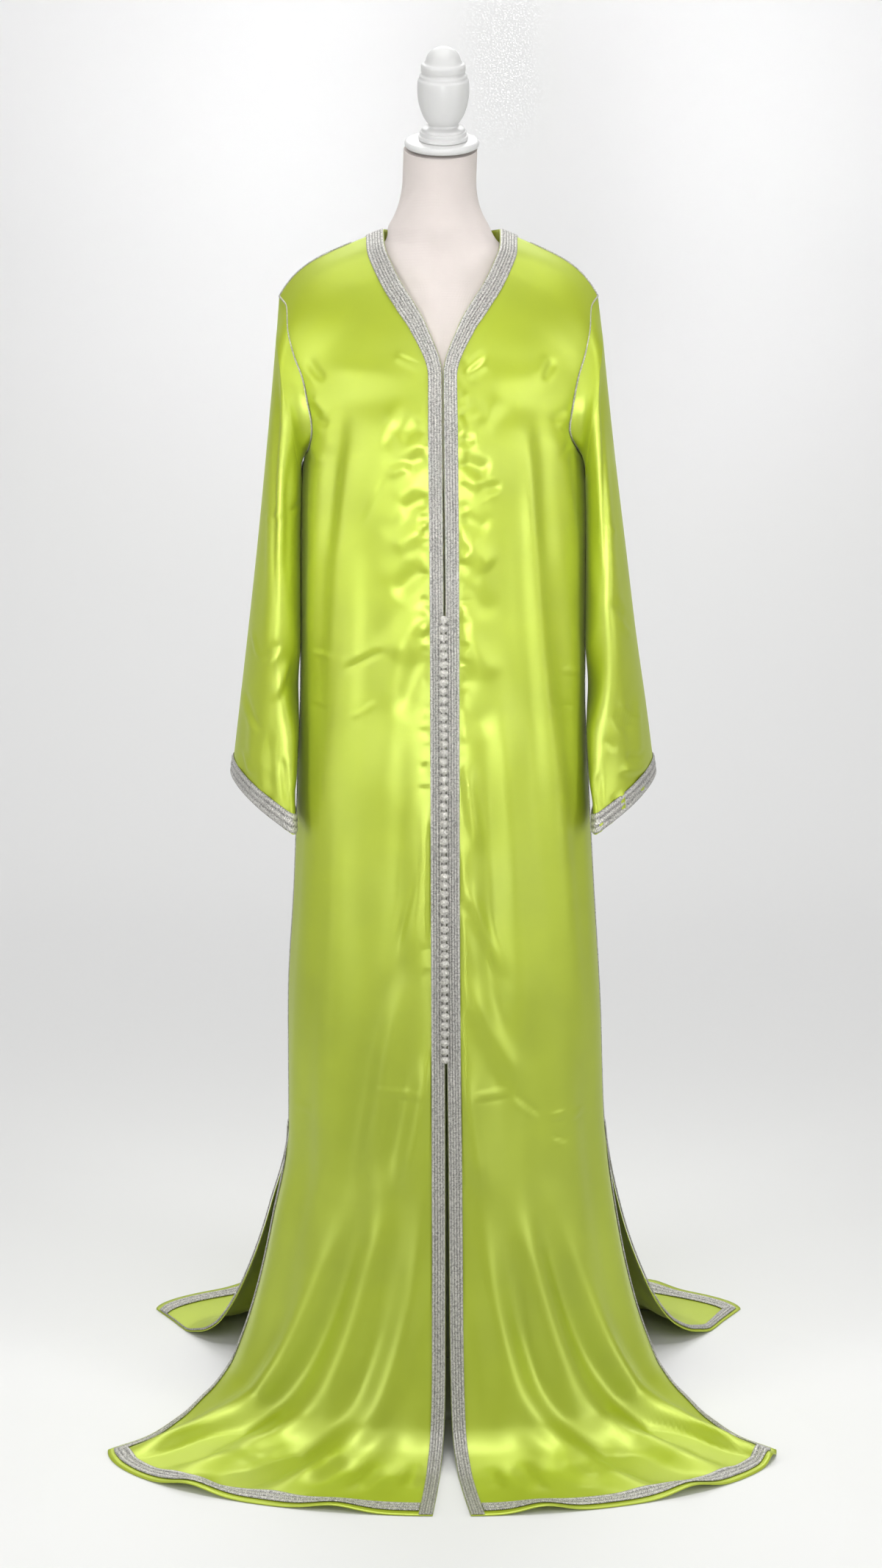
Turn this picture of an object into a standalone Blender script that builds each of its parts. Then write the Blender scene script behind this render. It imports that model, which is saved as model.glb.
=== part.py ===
"""A floor-length Moroccan kaftan on a limbless dress form, with the cloth as thin walls.

Metres, +Z up. The origin is the centre of the stand's foot on the floor, and the front of
the garment faces -Y. Left and right are the wearer's, so the left side lies at +X.

Each panel is a loft of sections. A front section runs from the neck or centre-front edge
to the armhole, side seam or side slit; a back section runs from side to side. Sleeves are
lofts of rings that start at the armhole. Folds are raised in the outer points and followed
by the inner ones. The braids are made from the panels' own points, moved out.
"""

import math
from collections import namedtuple

import bmesh
import bpy
from mathutils import Matrix, Vector

RIGHT, LEFT = -1, 1

CLOTH = 0.002  # thickness of a wall of cloth
SEAM = 0.0004  # gap between two pieces that are sewn together
NECK_OPENING = 0.27  # share of half the back's width that the neckline takes

# A section: its inner edge, then its outer edge, then how square its bend is. The inner
# edge is the neckline, centre front or centre back, the outer one the armhole, the side
# seam or the side slit. The last sections lie on the floor.
Section = namedtuple(
    "Section", "right_in left_in in_y in_z right_out left_out out_y out_z square"
)
FRONT = {
    "shoulder": Section(0.0720, 0.0650, 0.012, 1.4406, 0.1945, 0.1800, 0.006, 1.364, 1.25),
    "collar": Section(0.0702, 0.0640, -0.025, 1.4251, 0.1850, 0.1715, -0.020, 1.353, 1.35),
    "collarbone": Section(0.0617, 0.0560, -0.052, 1.4058, 0.1828, 0.1690, -0.042, 1.328, 1.45),
    "yoke": Section(0.0495, 0.0440, -0.073, 1.3840, 0.1750, 0.1625, -0.056, 1.300, 1.55),
    "neck": Section(0.0355, 0.0300, -0.090, 1.3640, 0.1650, 0.1545, -0.065, 1.275, 1.6),
    "neck_low": Section(0.0205, 0.0150, -0.108, 1.3380, 0.1590, 0.1490, -0.070, 1.247, 1.7),
    "neck_point": Section(0.0034, -0.0018, -0.130, 1.2880, 0.1541, 0.1450, -0.067, 1.216, 1.8),
    "bust": Section(0.0030, -0.0014, -0.147, 1.2350, 0.1600, 0.1560, -0.040, 1.188, 2.0),
    "underarm": Section(0.0026, -0.0010, -0.152, 1.1850, 0.1680, 0.1655, 0.0, 1.172, 2.2),
    "ribs": Section(0.0018, -0.0002, -0.151, 1.105, 0.1720, 0.1690, 0.0, 1.105, 2.2),
    "waist": Section(0.0011, 0.0005, -0.147, 1.000, 0.1733, 0.1698, 0.0, 1.000, 2.2),
    "high_hip": Section(0.0008, 0.0008, -0.146, 0.900, 0.1743, 0.1695, 0.0, 0.900, 2.2),
    "hip": Section(0.0005, 0.0011, -0.149, 0.800, 0.1785, 0.1740, 0.0, 0.800, 2.2),
    "thigh": Section(0.0000, 0.0016, -0.157, 0.650, 0.1850, 0.1830, 0.0, 0.650, 2.2),
    "front_slit": Section(-0.0004, 0.0026, -0.170, 0.500, 0.1940, 0.1930, 0.0, 0.500, 2.1),
    "side_slit": Section(-0.0008, 0.0045, -0.187, 0.335, 0.1955, 0.2005, 0.0, 0.335, 2.0),
    "knee": Section(-0.0010, 0.0055, -0.203, 0.220, 0.2155, 0.2165, -0.010, 0.215, 2.0),
    "shin": Section(-0.0010, 0.0065, -0.222, 0.120, 0.2370, 0.2370, -0.022, 0.120, 2.0),
    "ankle": Section(0.0000, 0.0085, -0.246, 0.045, 0.2630, 0.2630, -0.036, 0.045, 2.0),
    "floor": Section(0.0030, 0.0120, -0.272, 0.002, 0.2900, 0.2900, -0.068, 0.002, 2.0),
    "train": Section(0.0080, 0.0200, -0.338, 0.002, 0.3460, 0.3440, -0.180, 0.002, 1.9),
    "hem": Section(0.0140, 0.0300, -0.404, 0.002, 0.4070, 0.4010, -0.236, 0.002, 1.85),
}
BACK = {
    "shoulder": Section(0.0, 0.0, 0.058, 1.432, 0.1945, 0.1800, 0.0068, 1.364, 1.25),
    "nape": Section(0.0, 0.0, 0.078, 1.405, 0.1860, 0.1720, 0.022, 1.351, 1.4),
    "shoulder_blade": Section(0.0, 0.0, 0.094, 1.365, 0.1830, 0.1690, 0.042, 1.325, 1.5),
    "back_yoke": Section(0.0, 0.0, 0.105, 1.320, 0.1765, 0.1640, 0.054, 1.290, 1.6),
    "back_width": Section(0.0, 0.0, 0.111, 1.270, 0.1700, 0.1590, 0.058, 1.250, 1.75),
    "back_scye": Section(0.0, 0.0, 0.113, 1.230, 0.1655, 0.1560, 0.050, 1.212, 1.9),
    "back_bust": Section(0.0, 0.0, 0.113, 1.200, 0.1655, 0.1605, 0.028, 1.186, 2.0),
    "underarm": Section(0.0, 0.0, 0.112, 1.175, 0.1680, 0.1655, 0.0008, 1.172, 2.2),
    "ribs": Section(0.0, 0.0, 0.110, 1.105, 0.1720, 0.1690, 0.0008, 1.105, 2.2),
    "waist": Section(0.0, 0.0, 0.107, 1.000, 0.1733, 0.1698, 0.0008, 1.000, 2.2),
    "high_hip": Section(0.0, 0.0, 0.110, 0.900, 0.1743, 0.1695, 0.0008, 0.900, 2.2),
    "hip": Section(0.0, 0.0, 0.118, 0.800, 0.1785, 0.1740, 0.0008, 0.800, 2.2),
    "thigh": Section(0.0, 0.0, 0.131, 0.650, 0.1850, 0.1830, 0.0008, 0.650, 2.2),
    "calf": Section(0.0, 0.0, 0.147, 0.500, 0.1940, 0.1930, 0.0008, 0.500, 2.1),
    "side_slit": Section(0.0, 0.0, 0.166, 0.335, 0.1955, 0.2005, 0.0008, 0.335, 2.0),
    "knee": Section(0.0, 0.0, 0.178, 0.220, 0.2215, 0.2225, 0.022, 0.215, 2.0),
    "shin": Section(0.0, 0.0, 0.187, 0.120, 0.2515, 0.2525, 0.042, 0.120, 2.0),
    "ankle": Section(0.0, 0.0, 0.196, 0.045, 0.2860, 0.2880, 0.063, 0.045, 2.0),
    "floor": Section(0.0, 0.0, 0.208, 0.002, 0.3225, 0.3330, 0.084, 0.002, 1.9),
    "train": Section(0.0, 0.0, 0.256, 0.002, 0.3540, 0.3650, 0.135, 0.002, 1.85),
    "hem": Section(0.0, 0.0, 0.305, 0.002, 0.3870, 0.3980, 0.185, 0.002, 1.8),
}
SHOULDER_SLOPE = 0.65  # share of a section's fall that is even; the rest is near its end
SHOULDER_END = 6
UNDERARM_EASE = 0.0012  # how far the sleeve stands off the side under the arm

# A sleeve's rings: the point farthest from the body, the one nearest it, the middle and
# half the depth from front to back, and how far the near side is turned to the front.
Ring = namedtuple(
    "Ring", "right_out left_out out_z right_in left_in in_z middle_y half_depth turn"
)
SLEEVE = {
    "cap": Ring(0.1985, 0.1860, 1.320, 0.1750, 0.1725, 1.150, -0.004, 0.073, 0.0),
    "upper_arm": Ring(0.2065, 0.1955, 1.235, 0.1765, 0.1735, 1.085, -0.006, 0.078, 0.0),
    "arm": Ring(0.2155, 0.2060, 1.150, 0.1775, 0.1745, 1.015, -0.006, 0.080, 0.0),
    "elbow": Ring(0.2265, 0.2190, 1.055, 0.1780, 0.1750, 0.945, -0.006, 0.078, 0.008),
    "forearm": Ring(0.2385, 0.2320, 0.960, 0.1785, 0.1755, 0.870, -0.007, 0.073, 0.018),
    "wrist": Ring(0.2510, 0.2470, 0.865, 0.1795, 0.1770, 0.798, -0.010, 0.065, 0.032),
    "cuff": Ring(0.2625, 0.2595, 0.779, 0.1785, 0.1780, 0.734, -0.015, 0.056, 0.050),
}

# A fold runs from a place on one section to a place on another. Places count from 0 at the
# inner edge (on the back, the centre) to 1 at the outer one, and round a sleeve from its
# outer side over the front. The width is in the same measure, and a trough is negative.
Fold = namedtuple("Fold", "top top_at low low_at width top_height low_height")
FRONT_FOLDS = {
    RIGHT: (
        Fold("neck_point", 0.58, "train", 0.86, 0.075, 0.0045, 0.0110),
        Fold("neck_point", 0.49, "train", 0.735, 0.070, -0.0035, -0.0090),
        Fold("neck_point", 0.39, "train", 0.61, 0.070, 0.0045, 0.0160),
        Fold("waist", 0.30, "train", 0.475, 0.070, -0.0030, -0.0110),
        Fold("waist", 0.21, "train", 0.345, 0.060, 0.0030, 0.0150),
        Fold("hip", 0.14, "train", 0.235, 0.050, -0.0020, -0.0090),
        Fold("hip", 0.08, "train", 0.13, 0.050, 0.0020, 0.0120),
    ),
    LEFT: (
        Fold("neck_point", 0.60, "train", 0.90, 0.075, 0.0045, 0.0100),
        Fold("neck_point", 0.51, "train", 0.77, 0.070, -0.0035, -0.0080),
        Fold("neck_point", 0.42, "train", 0.64, 0.070, 0.0045, 0.0120),
        Fold("waist", 0.34, "train", 0.52, 0.070, -0.0030, -0.0110),
        Fold("waist", 0.25, "train", 0.40, 0.065, 0.0030, 0.0160),
        Fold("hip", 0.18, "train", 0.30, 0.050, -0.0020, -0.0090),
        Fold("hip", 0.10, "train", 0.205, 0.055, 0.0020, 0.0140),
    ),
}
BACK_FOLDS = (
    Fold("back_width", -0.62, "train", -0.80, 0.080, 0.0040, 0.0120),
    Fold("waist", -0.50, "train", -0.62, 0.070, -0.0030, -0.0100),
    Fold("back_width", -0.36, "train", -0.44, 0.080, 0.0045, 0.0150),
    Fold("waist", -0.22, "train", -0.27, 0.070, -0.0030, -0.0100),
    Fold("hip", -0.09, "train", -0.10, 0.070, 0.0040, 0.0140),
    Fold("waist", 0.06, "train", 0.07, 0.070, -0.0030, -0.0090),
    Fold("back_width", 0.19, "train", 0.24, 0.080, 0.0045, 0.0150),
    Fold("waist", 0.33, "train", 0.42, 0.070, -0.0030, -0.0100),
    Fold("back_width", 0.48, "train", 0.60, 0.080, 0.0045, 0.0140),
    Fold("waist", 0.64, "train", 0.77, 0.070, -0.0030, -0.0080),
)
SLEEVE_FOLDS = {
    RIGHT: (
        Fold("cap", 0.14, "forearm", 0.13, 0.035, -0.0060, -0.0030),
        Fold("cap", 0.24, "forearm", 0.26, 0.045, 0.0050, 0.0020),
        Fold("cap", 0.85, "wrist", 0.84, 0.045, -0.0050, -0.0030),
    ),
    LEFT: (
        Fold("cap", 0.13, "forearm", 0.12, 0.035, -0.0055, -0.0025),
        Fold("cap", 0.23, "wrist", 0.25, 0.045, 0.0045, 0.0020),
        Fold("cap", 0.86, "wrist", 0.86, 0.045, -0.0050, -0.0030),
    ),
}
FOLD_FADE = 0.18  # share of a fold's length over which it rises and dies away

# Short waves where a hem stands off the floor: the place along the hem, half the width in
# the same measure, the height, and how far in from the hem the wave reaches, in sections.
Ripple = namedtuple("Ripple", "at width height reach")
FRONT_RIPPLES = {
    RIGHT: (Ripple(0.52, 0.075, 0.010, 0.8), Ripple(0.19, 0.060, 0.008, 0.6)),
    LEFT: (
        Ripple(0.15, 0.055, 0.009, 0.6),
        Ripple(0.50, 0.070, 0.010, 0.8),
        Ripple(0.87, 0.050, 0.008, 0.7),
    ),
}
BACK_RIPPLES = (
    Ripple(-0.46, 0.07, 0.008, 0.8),
    Ripple(-0.14, 0.08, 0.009, 0.7),
    Ripple(0.22, 0.08, 0.008, 0.8),
    Ripple(0.50, 0.07, 0.009, 0.7),
)

FRONT_COLUMNS = 12
BACK_NECK_COLUMNS, BACK_SHOULDER_COLUMNS = 4, 8  # of each half
BRAID = 0.0016  # thickness of a braid
BRAID_LIFT = 0.0011  # how far its underside is from the cloth
FRONT_BAND, NECK_BAND = 0.016, 0.0215  # widths
HEM_BAND = (0.0045, 0.0140)  # its two edges, measured from the edge of the cloth
CUFF_BAND = (0.0005, 0.0125)
BACK_NECK_BAND = (0.0005, 0.0215)

KNOTS = 51
KNOT_TOP, KNOT_PITCH, KNOT_RADIUS = 1.005, 0.01055, 0.0040
KNOT_CORD = 0.0013  # radius of the cord that the knots are tied in
KNOT_SIDES = 6
BISECTIONS = 16  # halvings of a column in the search for a place
LEAST_GAP = (0.1, 0.02)  # shares of a column between its ends and a braid's turn
SMALL = 0.01  # a short way across or down a panel
SEARCH_STEPS, SEARCH_SHARE = 12, 0.6
NECK_STEPS = 16  # of each half of the braid round the back of the neck
NECK_FALL = 0.45  # how far that braid falls for its width
NECK_LIFT = 0.0017

CAP_TILT = math.radians(13.5)
CAP_CENTRE = Vector((-0.0034, -0.004, 1.5405))
CAP_RADIUS, CAP_THICK = 0.0435, 0.0085
# The finial's outline from its foot up: height above the cap, radius.
FINIAL = (
    (0.0000, 0.0000), (0.0000, 0.0278), (0.0012, 0.0288), (0.0040, 0.0288),
    (0.0055, 0.0268), (0.0075, 0.0272), (0.0095, 0.0268), (0.0105, 0.0254),
    (0.0130, 0.0250), (0.0145, 0.0225), (0.0160, 0.0182), (0.0180, 0.0172),
    (0.0215, 0.0198), (0.0272, 0.0233), (0.0342, 0.0261), (0.0413, 0.0282),
    (0.0484, 0.0295), (0.0560, 0.0300), (0.0625, 0.0300), (0.0690, 0.0293),
    (0.0715, 0.0279), (0.0745, 0.0275), (0.0765, 0.0252), (0.0785, 0.0250),
    (0.0800, 0.0258), (0.0850, 0.0257), (0.0878, 0.0244), (0.0895, 0.0215),
    (0.0978, 0.0182), (0.1034, 0.0127), (0.1066, 0.0060), (0.1077, 0.0000),
)
FINIAL_OFF = 0.0016  # how far it stands from the middle of the cap

# The padded form's rings: height, half width, middle, front, back, squareness, and the
# share of the cap's tilt.
FormRing = namedtuple("FormRing", "z half_width middle front back square lean")
FORM = (
    FormRing(0.742, 0.0900, 0.0, -0.0550, 0.0450, 2.0, 0.0),
    FormRing(0.749, 0.1250, 0.0, -0.0860, 0.0700, 2.0, 0.0),
    FormRing(0.775, 0.1460, 0.0, -0.1080, 0.0860, 2.1, 0.0),
    FormRing(0.850, 0.1560, 0.0, -0.1220, 0.0960, 2.2, 0.0),
    FormRing(0.930, 0.1500, 0.0, -0.1200, 0.0920, 2.2, 0.0),
    FormRing(1.000, 0.1340, 0.0, -0.1100, 0.0840, 2.1, 0.0),
    FormRing(1.060, 0.1270, 0.0, -0.1060, 0.0800, 2.1, 0.0),
    FormRing(1.120, 0.1330, 0.0, -0.1180, 0.0850, 2.1, 0.0),
    FormRing(1.180, 0.1430, 0.0, -0.1360, 0.0930, 2.1, 0.0),
    FormRing(1.225, 0.1460, 0.0, -0.1380, 0.0990, 2.0, 0.0),
    FormRing(1.270, 0.1420, 0.0, -0.1260, 0.1000, 1.9, 0.0),
    FormRing(1.310, 0.1450, 0.0, -0.1090, 0.0950, 1.8, 0.0),
    FormRing(1.338, 0.1510, -0.001, -0.0910, 0.0860, 1.7, 0.0),
    FormRing(1.360, 0.1530, -0.002, -0.0720, 0.0740, 1.6, 0.0),
    FormRing(1.378, 0.1440, -0.003, -0.0570, 0.0640, 1.6, 0.0),
    FormRing(1.394, 0.1230, -0.004, -0.0510, 0.0560, 1.6, 0.0),
    FormRing(1.412, 0.0900, -0.004, -0.0465, 0.0510, 1.75, 0.0),
    FormRing(1.425, 0.0690, -0.004, -0.0450, 0.0480, 1.9, 0.0),
    FormRing(1.434, 0.0625, -0.005, -0.0445, 0.0465, 2.0, 0.0),
    FormRing(1.4455, 0.0590, -0.0070, -0.0445, 0.0450, 2.0, 0.0),
    FormRing(1.460, 0.0512, -0.0070, -0.0440, 0.0440, 2.0, 0.0),
    FormRing(1.477, 0.0456, -0.0068, -0.0440, 0.0430, 2.0, 0.1),
    FormRing(1.500, 0.0430, -0.0062, -0.0440, 0.0400, 2.0, 0.4),
    FormRing(1.534, 0.0430, -0.0050, -0.0455, 0.0375, 2.0, 1.0),
)
FORM_SIDES = 24
POLE_RADIUS = 0.0175
FOOT_RADIUS, FOOT_HEIGHT = 0.150, 0.022
TURNED_STEPS = 24


# ---------------------------------------------------------------- reading the tables


def slope_at(before, here, after):
    """The slope of a curve through three values that never passes beyond them."""
    rise, next_rise = here - before, after - here
    if rise * next_rise <= 0:
        return 0.0
    steepest = 2 * min(abs(rise), abs(next_rise))
    return math.copysign(min(abs(rise + next_rise) / 2, steepest), rise)


def between(rows, place):
    """The row of a table at this place, on a smooth curve through the rows about it."""
    last = len(rows) - 1
    index = min(max(int(place), 0), last - 1)
    part = min(max(place - index, 0.0), 1.0)
    near = [rows[min(max(index + step, 0), last)] for step in (-1, 0, 1, 2)]
    values = []
    for before, start, end, after in zip(*near):
        slope_in = slope_at(before, start, end) if index > 0 else end - start
        slope_out = slope_at(start, end, after) if index < last - 1 else end - start
        bend = 3 * (end - start) - 2 * slope_in - slope_out
        twist = 2 * (start - end) + slope_in + slope_out
        values.append(start + part * (slope_in + part * (bend + part * twist)))
    return type(rows[0])(*values)


def place_of(table, name):
    return float(list(table).index(name))


def ease(value):
    """0 to 1 with level ends."""
    value = min(max(value, 0.0), 1.0)
    return value * value * (3 - 2 * value)


def fold_height(folds, table, across, down):
    """How far the folds move the cloth out at a place."""
    height = 0.0
    for fold in folds:
        top, low = place_of(table, fold.top), place_of(table, fold.low)
        part = (down - top) / (low - top)
        if not 0 < part < 1:
            continue
        off = (across - fold.top_at - (fold.low_at - fold.top_at) * part) / fold.width
        fade = ease(part / FOLD_FADE) * ease((1 - part) / FOLD_FADE)
        size = fold.top_height + (fold.low_height - fold.top_height) * part
        height += size * fade * math.exp(-off * off)
    return height


def ripple_height(ripples, table, across, down):
    """How far the hem's short waves stand off the floor at a place."""
    height = 0.0
    for ripple in ripples:
        off = (across - ripple.at) / ripple.width
        inward = (len(table) - 1 - down) / ripple.reach
        height += ripple.height * math.exp(-off * off) * ease(1 - inward)
    return height


# ---------------------------------------------------------------- the surfaces


def section_point(section, side, across):
    """A point of a section, from 0 at its inner edge to 1 at its outer one."""
    inner = section.left_in if side == LEFT else section.right_in
    outer = section.left_out if side == LEFT else section.right_out
    reach = math.sin(0.5 * math.pi * across)
    round_the_side = 1 - max(1 - reach**section.square, 0.0) ** (1 / section.square)
    fall = SHOULDER_SLOPE * reach + (1 - SHOULDER_SLOPE) * reach**SHOULDER_END
    return Vector((
        side * (inner + (outer - inner) * reach),
        section.in_y + (section.out_y - section.in_y) * round_the_side,
        section.in_z + (section.out_z - section.in_z) * fall,
    ))


def front_plain(side, across, down):
    """A point of a front before it is folded."""
    return section_point(between(list(FRONT.values()), down), side, across)


def shoulder_line(side, part):
    """The shoulder seam on the back's side of it, from the neck to the sleeve."""
    point = section_point(FRONT["shoulder"], side, part)
    return point + Vector((0.0, 2 * SEAM, 0.0))


def back_top(side, across):
    """The back's upper edge: the neckline to the neck point, then the shoulder seam."""
    neck_point = shoulder_line(side, 0.0)
    if across > NECK_OPENING:
        return shoulder_line(side, (across - NECK_OPENING) / (1 - NECK_OPENING))
    turn = 0.5 * math.pi * across / NECK_OPENING
    nape = BACK["shoulder"]
    return Vector((
        neck_point.x * math.sin(turn),
        neck_point.y + (nape.in_y - neck_point.y) * math.cos(turn),
        neck_point.z + (nape.in_z - neck_point.z) * math.cos(turn) ** 2,
    ))


def back_plain(across, down):
    """A point of the back before it is folded. It runs from -1, right, to 1, left."""
    side = LEFT if across > 0 else RIGHT
    across = abs(across)
    point = section_point(between(list(BACK.values()), down), side, across)
    below_top = 2.0
    if down < below_top:
        upper = section_point(BACK["shoulder"], side, across)
        point += (back_top(side, across) - upper) * (1 - ease(down / below_top))
    return point


def facing(surface, across, down, low, high, last):
    """The direction that points out of a surface at a place."""
    step = 1e-4
    left, right = max(across - step, low), min(across + step, high)
    above, below = max(down - step, 0.0), min(down + step, last)
    sideways = surface(right, down) - surface(left, down)
    downwards = surface(across, below) - surface(across, above)
    return downwards.cross(sideways).normalized()


def on_floor(point):
    """The outer face of cloth that lies on the floor is one thickness above it."""
    point.z = max(point.z, CLOTH)
    return point


def front_point(side, across, down):
    def plain(u, v):
        return front_plain(side, u, v)

    last = len(FRONT) - 1
    out = facing(plain, across, down, 0.0, 1.0, last) * side
    seam = ease((1 - across) / 0.08)
    height = fold_height(FRONT_FOLDS[side], FRONT, across, down) * seam
    point = plain(across, down) + out * height
    point.z += ripple_height(FRONT_RIPPLES[side], FRONT, across, down)
    return on_floor(point)


def back_point(across, down):
    out = facing(back_plain, across, down, -1.0, 1.0, len(BACK) - 1) * -1
    seam = ease((1 - abs(across)) / 0.08)
    height = fold_height(BACK_FOLDS, BACK, across, down) * seam
    point = back_plain(across, down) + out * height
    point.z += ripple_height(BACK_RIPPLES, BACK, across, down)
    return on_floor(point)


ARMHOLE_FRONT = int(place_of(FRONT, "underarm"))
ARMHOLE_BACK = int(place_of(BACK, "underarm"))
ARMHOLE_ROUND = ARMHOLE_FRONT + ARMHOLE_BACK


def armhole(side, around):
    """A point of the armhole, and the way out of the cloth there, from 0 at the shoulder
    over the front to 1 at the shoulder again."""
    step = around * ARMHOLE_ROUND
    if step <= ARMHOLE_FRONT:
        def surface(u, v):
            return front_plain(side, u, v)

        out = facing(surface, 1.0, step, 0.0, 1.0, len(FRONT) - 1) * side
        return surface(1.0, step), out
    down = ARMHOLE_ROUND - step
    out = facing(back_plain, side, down, -1.0, 1.0, len(BACK) - 1) * -1
    return back_plain(side, down), out


def sleeve_start(side, around):
    """The sleeve's first ring, a seam's gap away from the armhole, and the way through its
    wall: along the body's cloth at the shoulder, and away from it under the arm."""
    step = 1e-3
    point, out = armhole(side, around)
    ahead, _ = armhole(side, (around + step) % 1.0)
    behind, _ = armhole(side, (around - step) % 1.0)
    away = (ahead - behind).cross(out).normalized() * -side
    under = ((1 - math.cos(2 * math.pi * around)) / 2) ** 1.5
    through = (away * under - out * (1 - under)).normalized()
    return point + away * 2 * SEAM + out * (UNDERARM_EASE * under), through


def sleeve_plain(side, around, down):
    """A point of a sleeve before it is folded: 0 is the armhole, then a ring for each 1."""
    angle = 2 * math.pi * around
    ring = between(list(SLEEVE.values()), max(down - 1, 0.0))
    outer = ring.left_out if side == LEFT else ring.right_out
    inner = ring.left_in if side == LEFT else ring.right_in
    spread = math.cos(angle)
    point = Vector((
        side * ((outer + inner) / 2 + (outer - inner) / 2 * spread),
        ring.middle_y - ring.half_depth * math.sin(angle) + ring.turn * spread,
        (ring.out_z + ring.in_z) / 2 + (ring.out_z - ring.in_z) / 2 * spread,
    ))
    if down < 1:
        start, _ = sleeve_start(side, around)
        point = start.lerp(point, down)
        bulge = UNDERARM_EASE * max(-spread, 0.0) * math.sin(math.pi * down)
        point.x += side * 2 * bulge
    return point


def sleeve_point(side, around, down):
    def plain(u, v):
        return sleeve_plain(side, u % 1.0, v)

    if down == 0:
        return plain(around, down)
    out = facing(plain, around, down, -1.0, 2.0, float(len(SLEEVE))) * -side
    height = fold_height(SLEEVE_FOLDS[side], SLEEVE, around, down - 1)
    return plain(around, down) + out * height


# ---------------------------------------------------------------- walls and braids


class Panel:
    """A piece of cloth as a grid of points on its outer face, and the way in at each."""

    def __init__(self, point, columns, rows, turned, closed=False, first_way_in=None,
                 on_seam=None):
        self.columns, self.rows, self.closed = columns, rows, closed
        low, high = (-1.0, 2.0) if closed else (columns[0], columns[-1])
        self.outer = [[point(u, v) for u in columns] for v in rows]
        self.way_in = [
            [facing(point, u, v, low, high, rows[-1]) * -turned for u in columns] for v in rows
        ]
        if first_way_in:
            self.way_in[0] = [first_way_in(u) for u in columns]
        for v, ways in zip(rows, self.way_in):
            for u, way in zip(columns, ways):
                if on_seam and on_seam(u, v):
                    way.y = 0.0
                    way.normalize()

    def spot(self, across, down):
        """The cell that holds a place, and how far across and down it the place is."""
        column = max(i for i, u in enumerate(self.columns[:-1]) if u <= across or i == 0)
        row = max(i for i, v in enumerate(self.rows[:-1]) if v <= down or i == 0)
        x = (across - self.columns[column]) / (self.columns[column + 1] - self.columns[column])
        y = (down - self.rows[row]) / (self.rows[row + 1] - self.rows[row])
        return column, row, x, y

    def cell(self, values, across, down):
        """What a grid of vectors holds at a place, on the two triangles of its cell."""
        column, row, x, y = self.spot(across, down)
        a, b = values[row][column], values[row][column + 1]
        c, d = values[row + 1][column], values[row + 1][column + 1]
        if x + y <= 1:
            return a + (b - a) * x + (c - a) * y
        return d + (c - d) * (1 - x) + (b - d) * (1 - y)

    def at(self, across, down, lift=0.0):
        point = self.cell(self.outer, across, down)
        return point - self.cell(self.way_in, across, down).normalized() * lift

    def slopes(self, across, down):
        """How far the cloth goes for each 1 across and for each 1 down, at a place."""
        u = min(max(across, self.columns[0] + SMALL), self.columns[-1] - SMALL)
        v = min(max(down, self.rows[0] + SMALL), self.rows[-1] - SMALL)
        by_u = (self.at(u + SMALL, v) - self.at(u - SMALL, v)) / (2 * SMALL)
        by_v = (self.at(u, v + SMALL) - self.at(u, v - SMALL)) / (2 * SMALL)
        return by_u, by_v

    def inset(self, across, down, inward, distance):
        """The place this far in from an edge that passes through a place. Inward is the
        way from the edge as signs across and down, and both where two edges meet."""
        by_u, by_v = self.slopes(across, down)
        slant = by_u.normalized().cross(by_v.normalized()).length
        step_u = inward[0] * distance / (by_u.length * slant)
        step_v = inward[1] * distance / (by_v.length * slant)
        return across + step_u, down + step_v

    def nearest(self, target, across, down):
        """The place nearest to a point in space, searched for from this place."""
        for _ in range(SEARCH_STEPS):
            by_u, by_v = self.slopes(across, down)
            gap = target - self.at(across, down)
            uu, uv, vv = by_u.dot(by_u), by_u.dot(by_v), by_v.dot(by_v)
            whole = uu * vv - uv * uv
            across += SEARCH_SHARE * (gap.dot(by_u) * vv - gap.dot(by_v) * uv) / whole
            down += SEARCH_SHARE * (gap.dot(by_v) * uu - gap.dot(by_u) * uv) / whole
            down = max(down, 0.0)
        return across, down

    def along(self, columns, down, inward, distances):
        """The places along an edge that a braid turns at: the columns, and where a line at
        one of these distances from the edge crosses from one triangle to the next."""
        places = []
        for start, end in zip(columns, columns[1:]):
            found = {start}
            for distance in distances:
                low, high = start, end
                for _ in range(BISECTIONS):
                    middle = (low + high) / 2
                    _, _, x, y = self.spot(*self.inset(middle, down, inward, distance))
                    low, high = (low, middle) if x + y > 1 else (middle, high)
                if LEAST_GAP[0] < (low - start) / (end - start) < 1 - LEAST_GAP[1]:
                    found.add(low)
            places += sorted(found)
        return [(place, down, inward) for place in places + [columns[-1]]]


def new_object(name, mesh, material, smooth=True):
    body = bpy.data.objects.new(name, mesh)
    mesh.materials.append(material)
    if smooth:
        mesh.shade_smooth()
        mesh.set_sharp_from_angle(angle=math.radians(50))
    bpy.data.collections["moroccan_kaftan"].objects.link(body)
    return body


def mesh_from(name, points, faces):
    mesh = bpy.data.meshes.new(name)
    mesh.from_pydata(points, [], faces)
    shell = bmesh.new()
    shell.from_mesh(mesh)
    bmesh.ops.recalc_face_normals(shell, faces=shell.faces)
    if shell.calc_volume(signed=True) < 0:
        bmesh.ops.reverse_faces(shell, faces=shell.faces)
    shell.to_mesh(mesh)
    shell.free()
    return mesh


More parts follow.
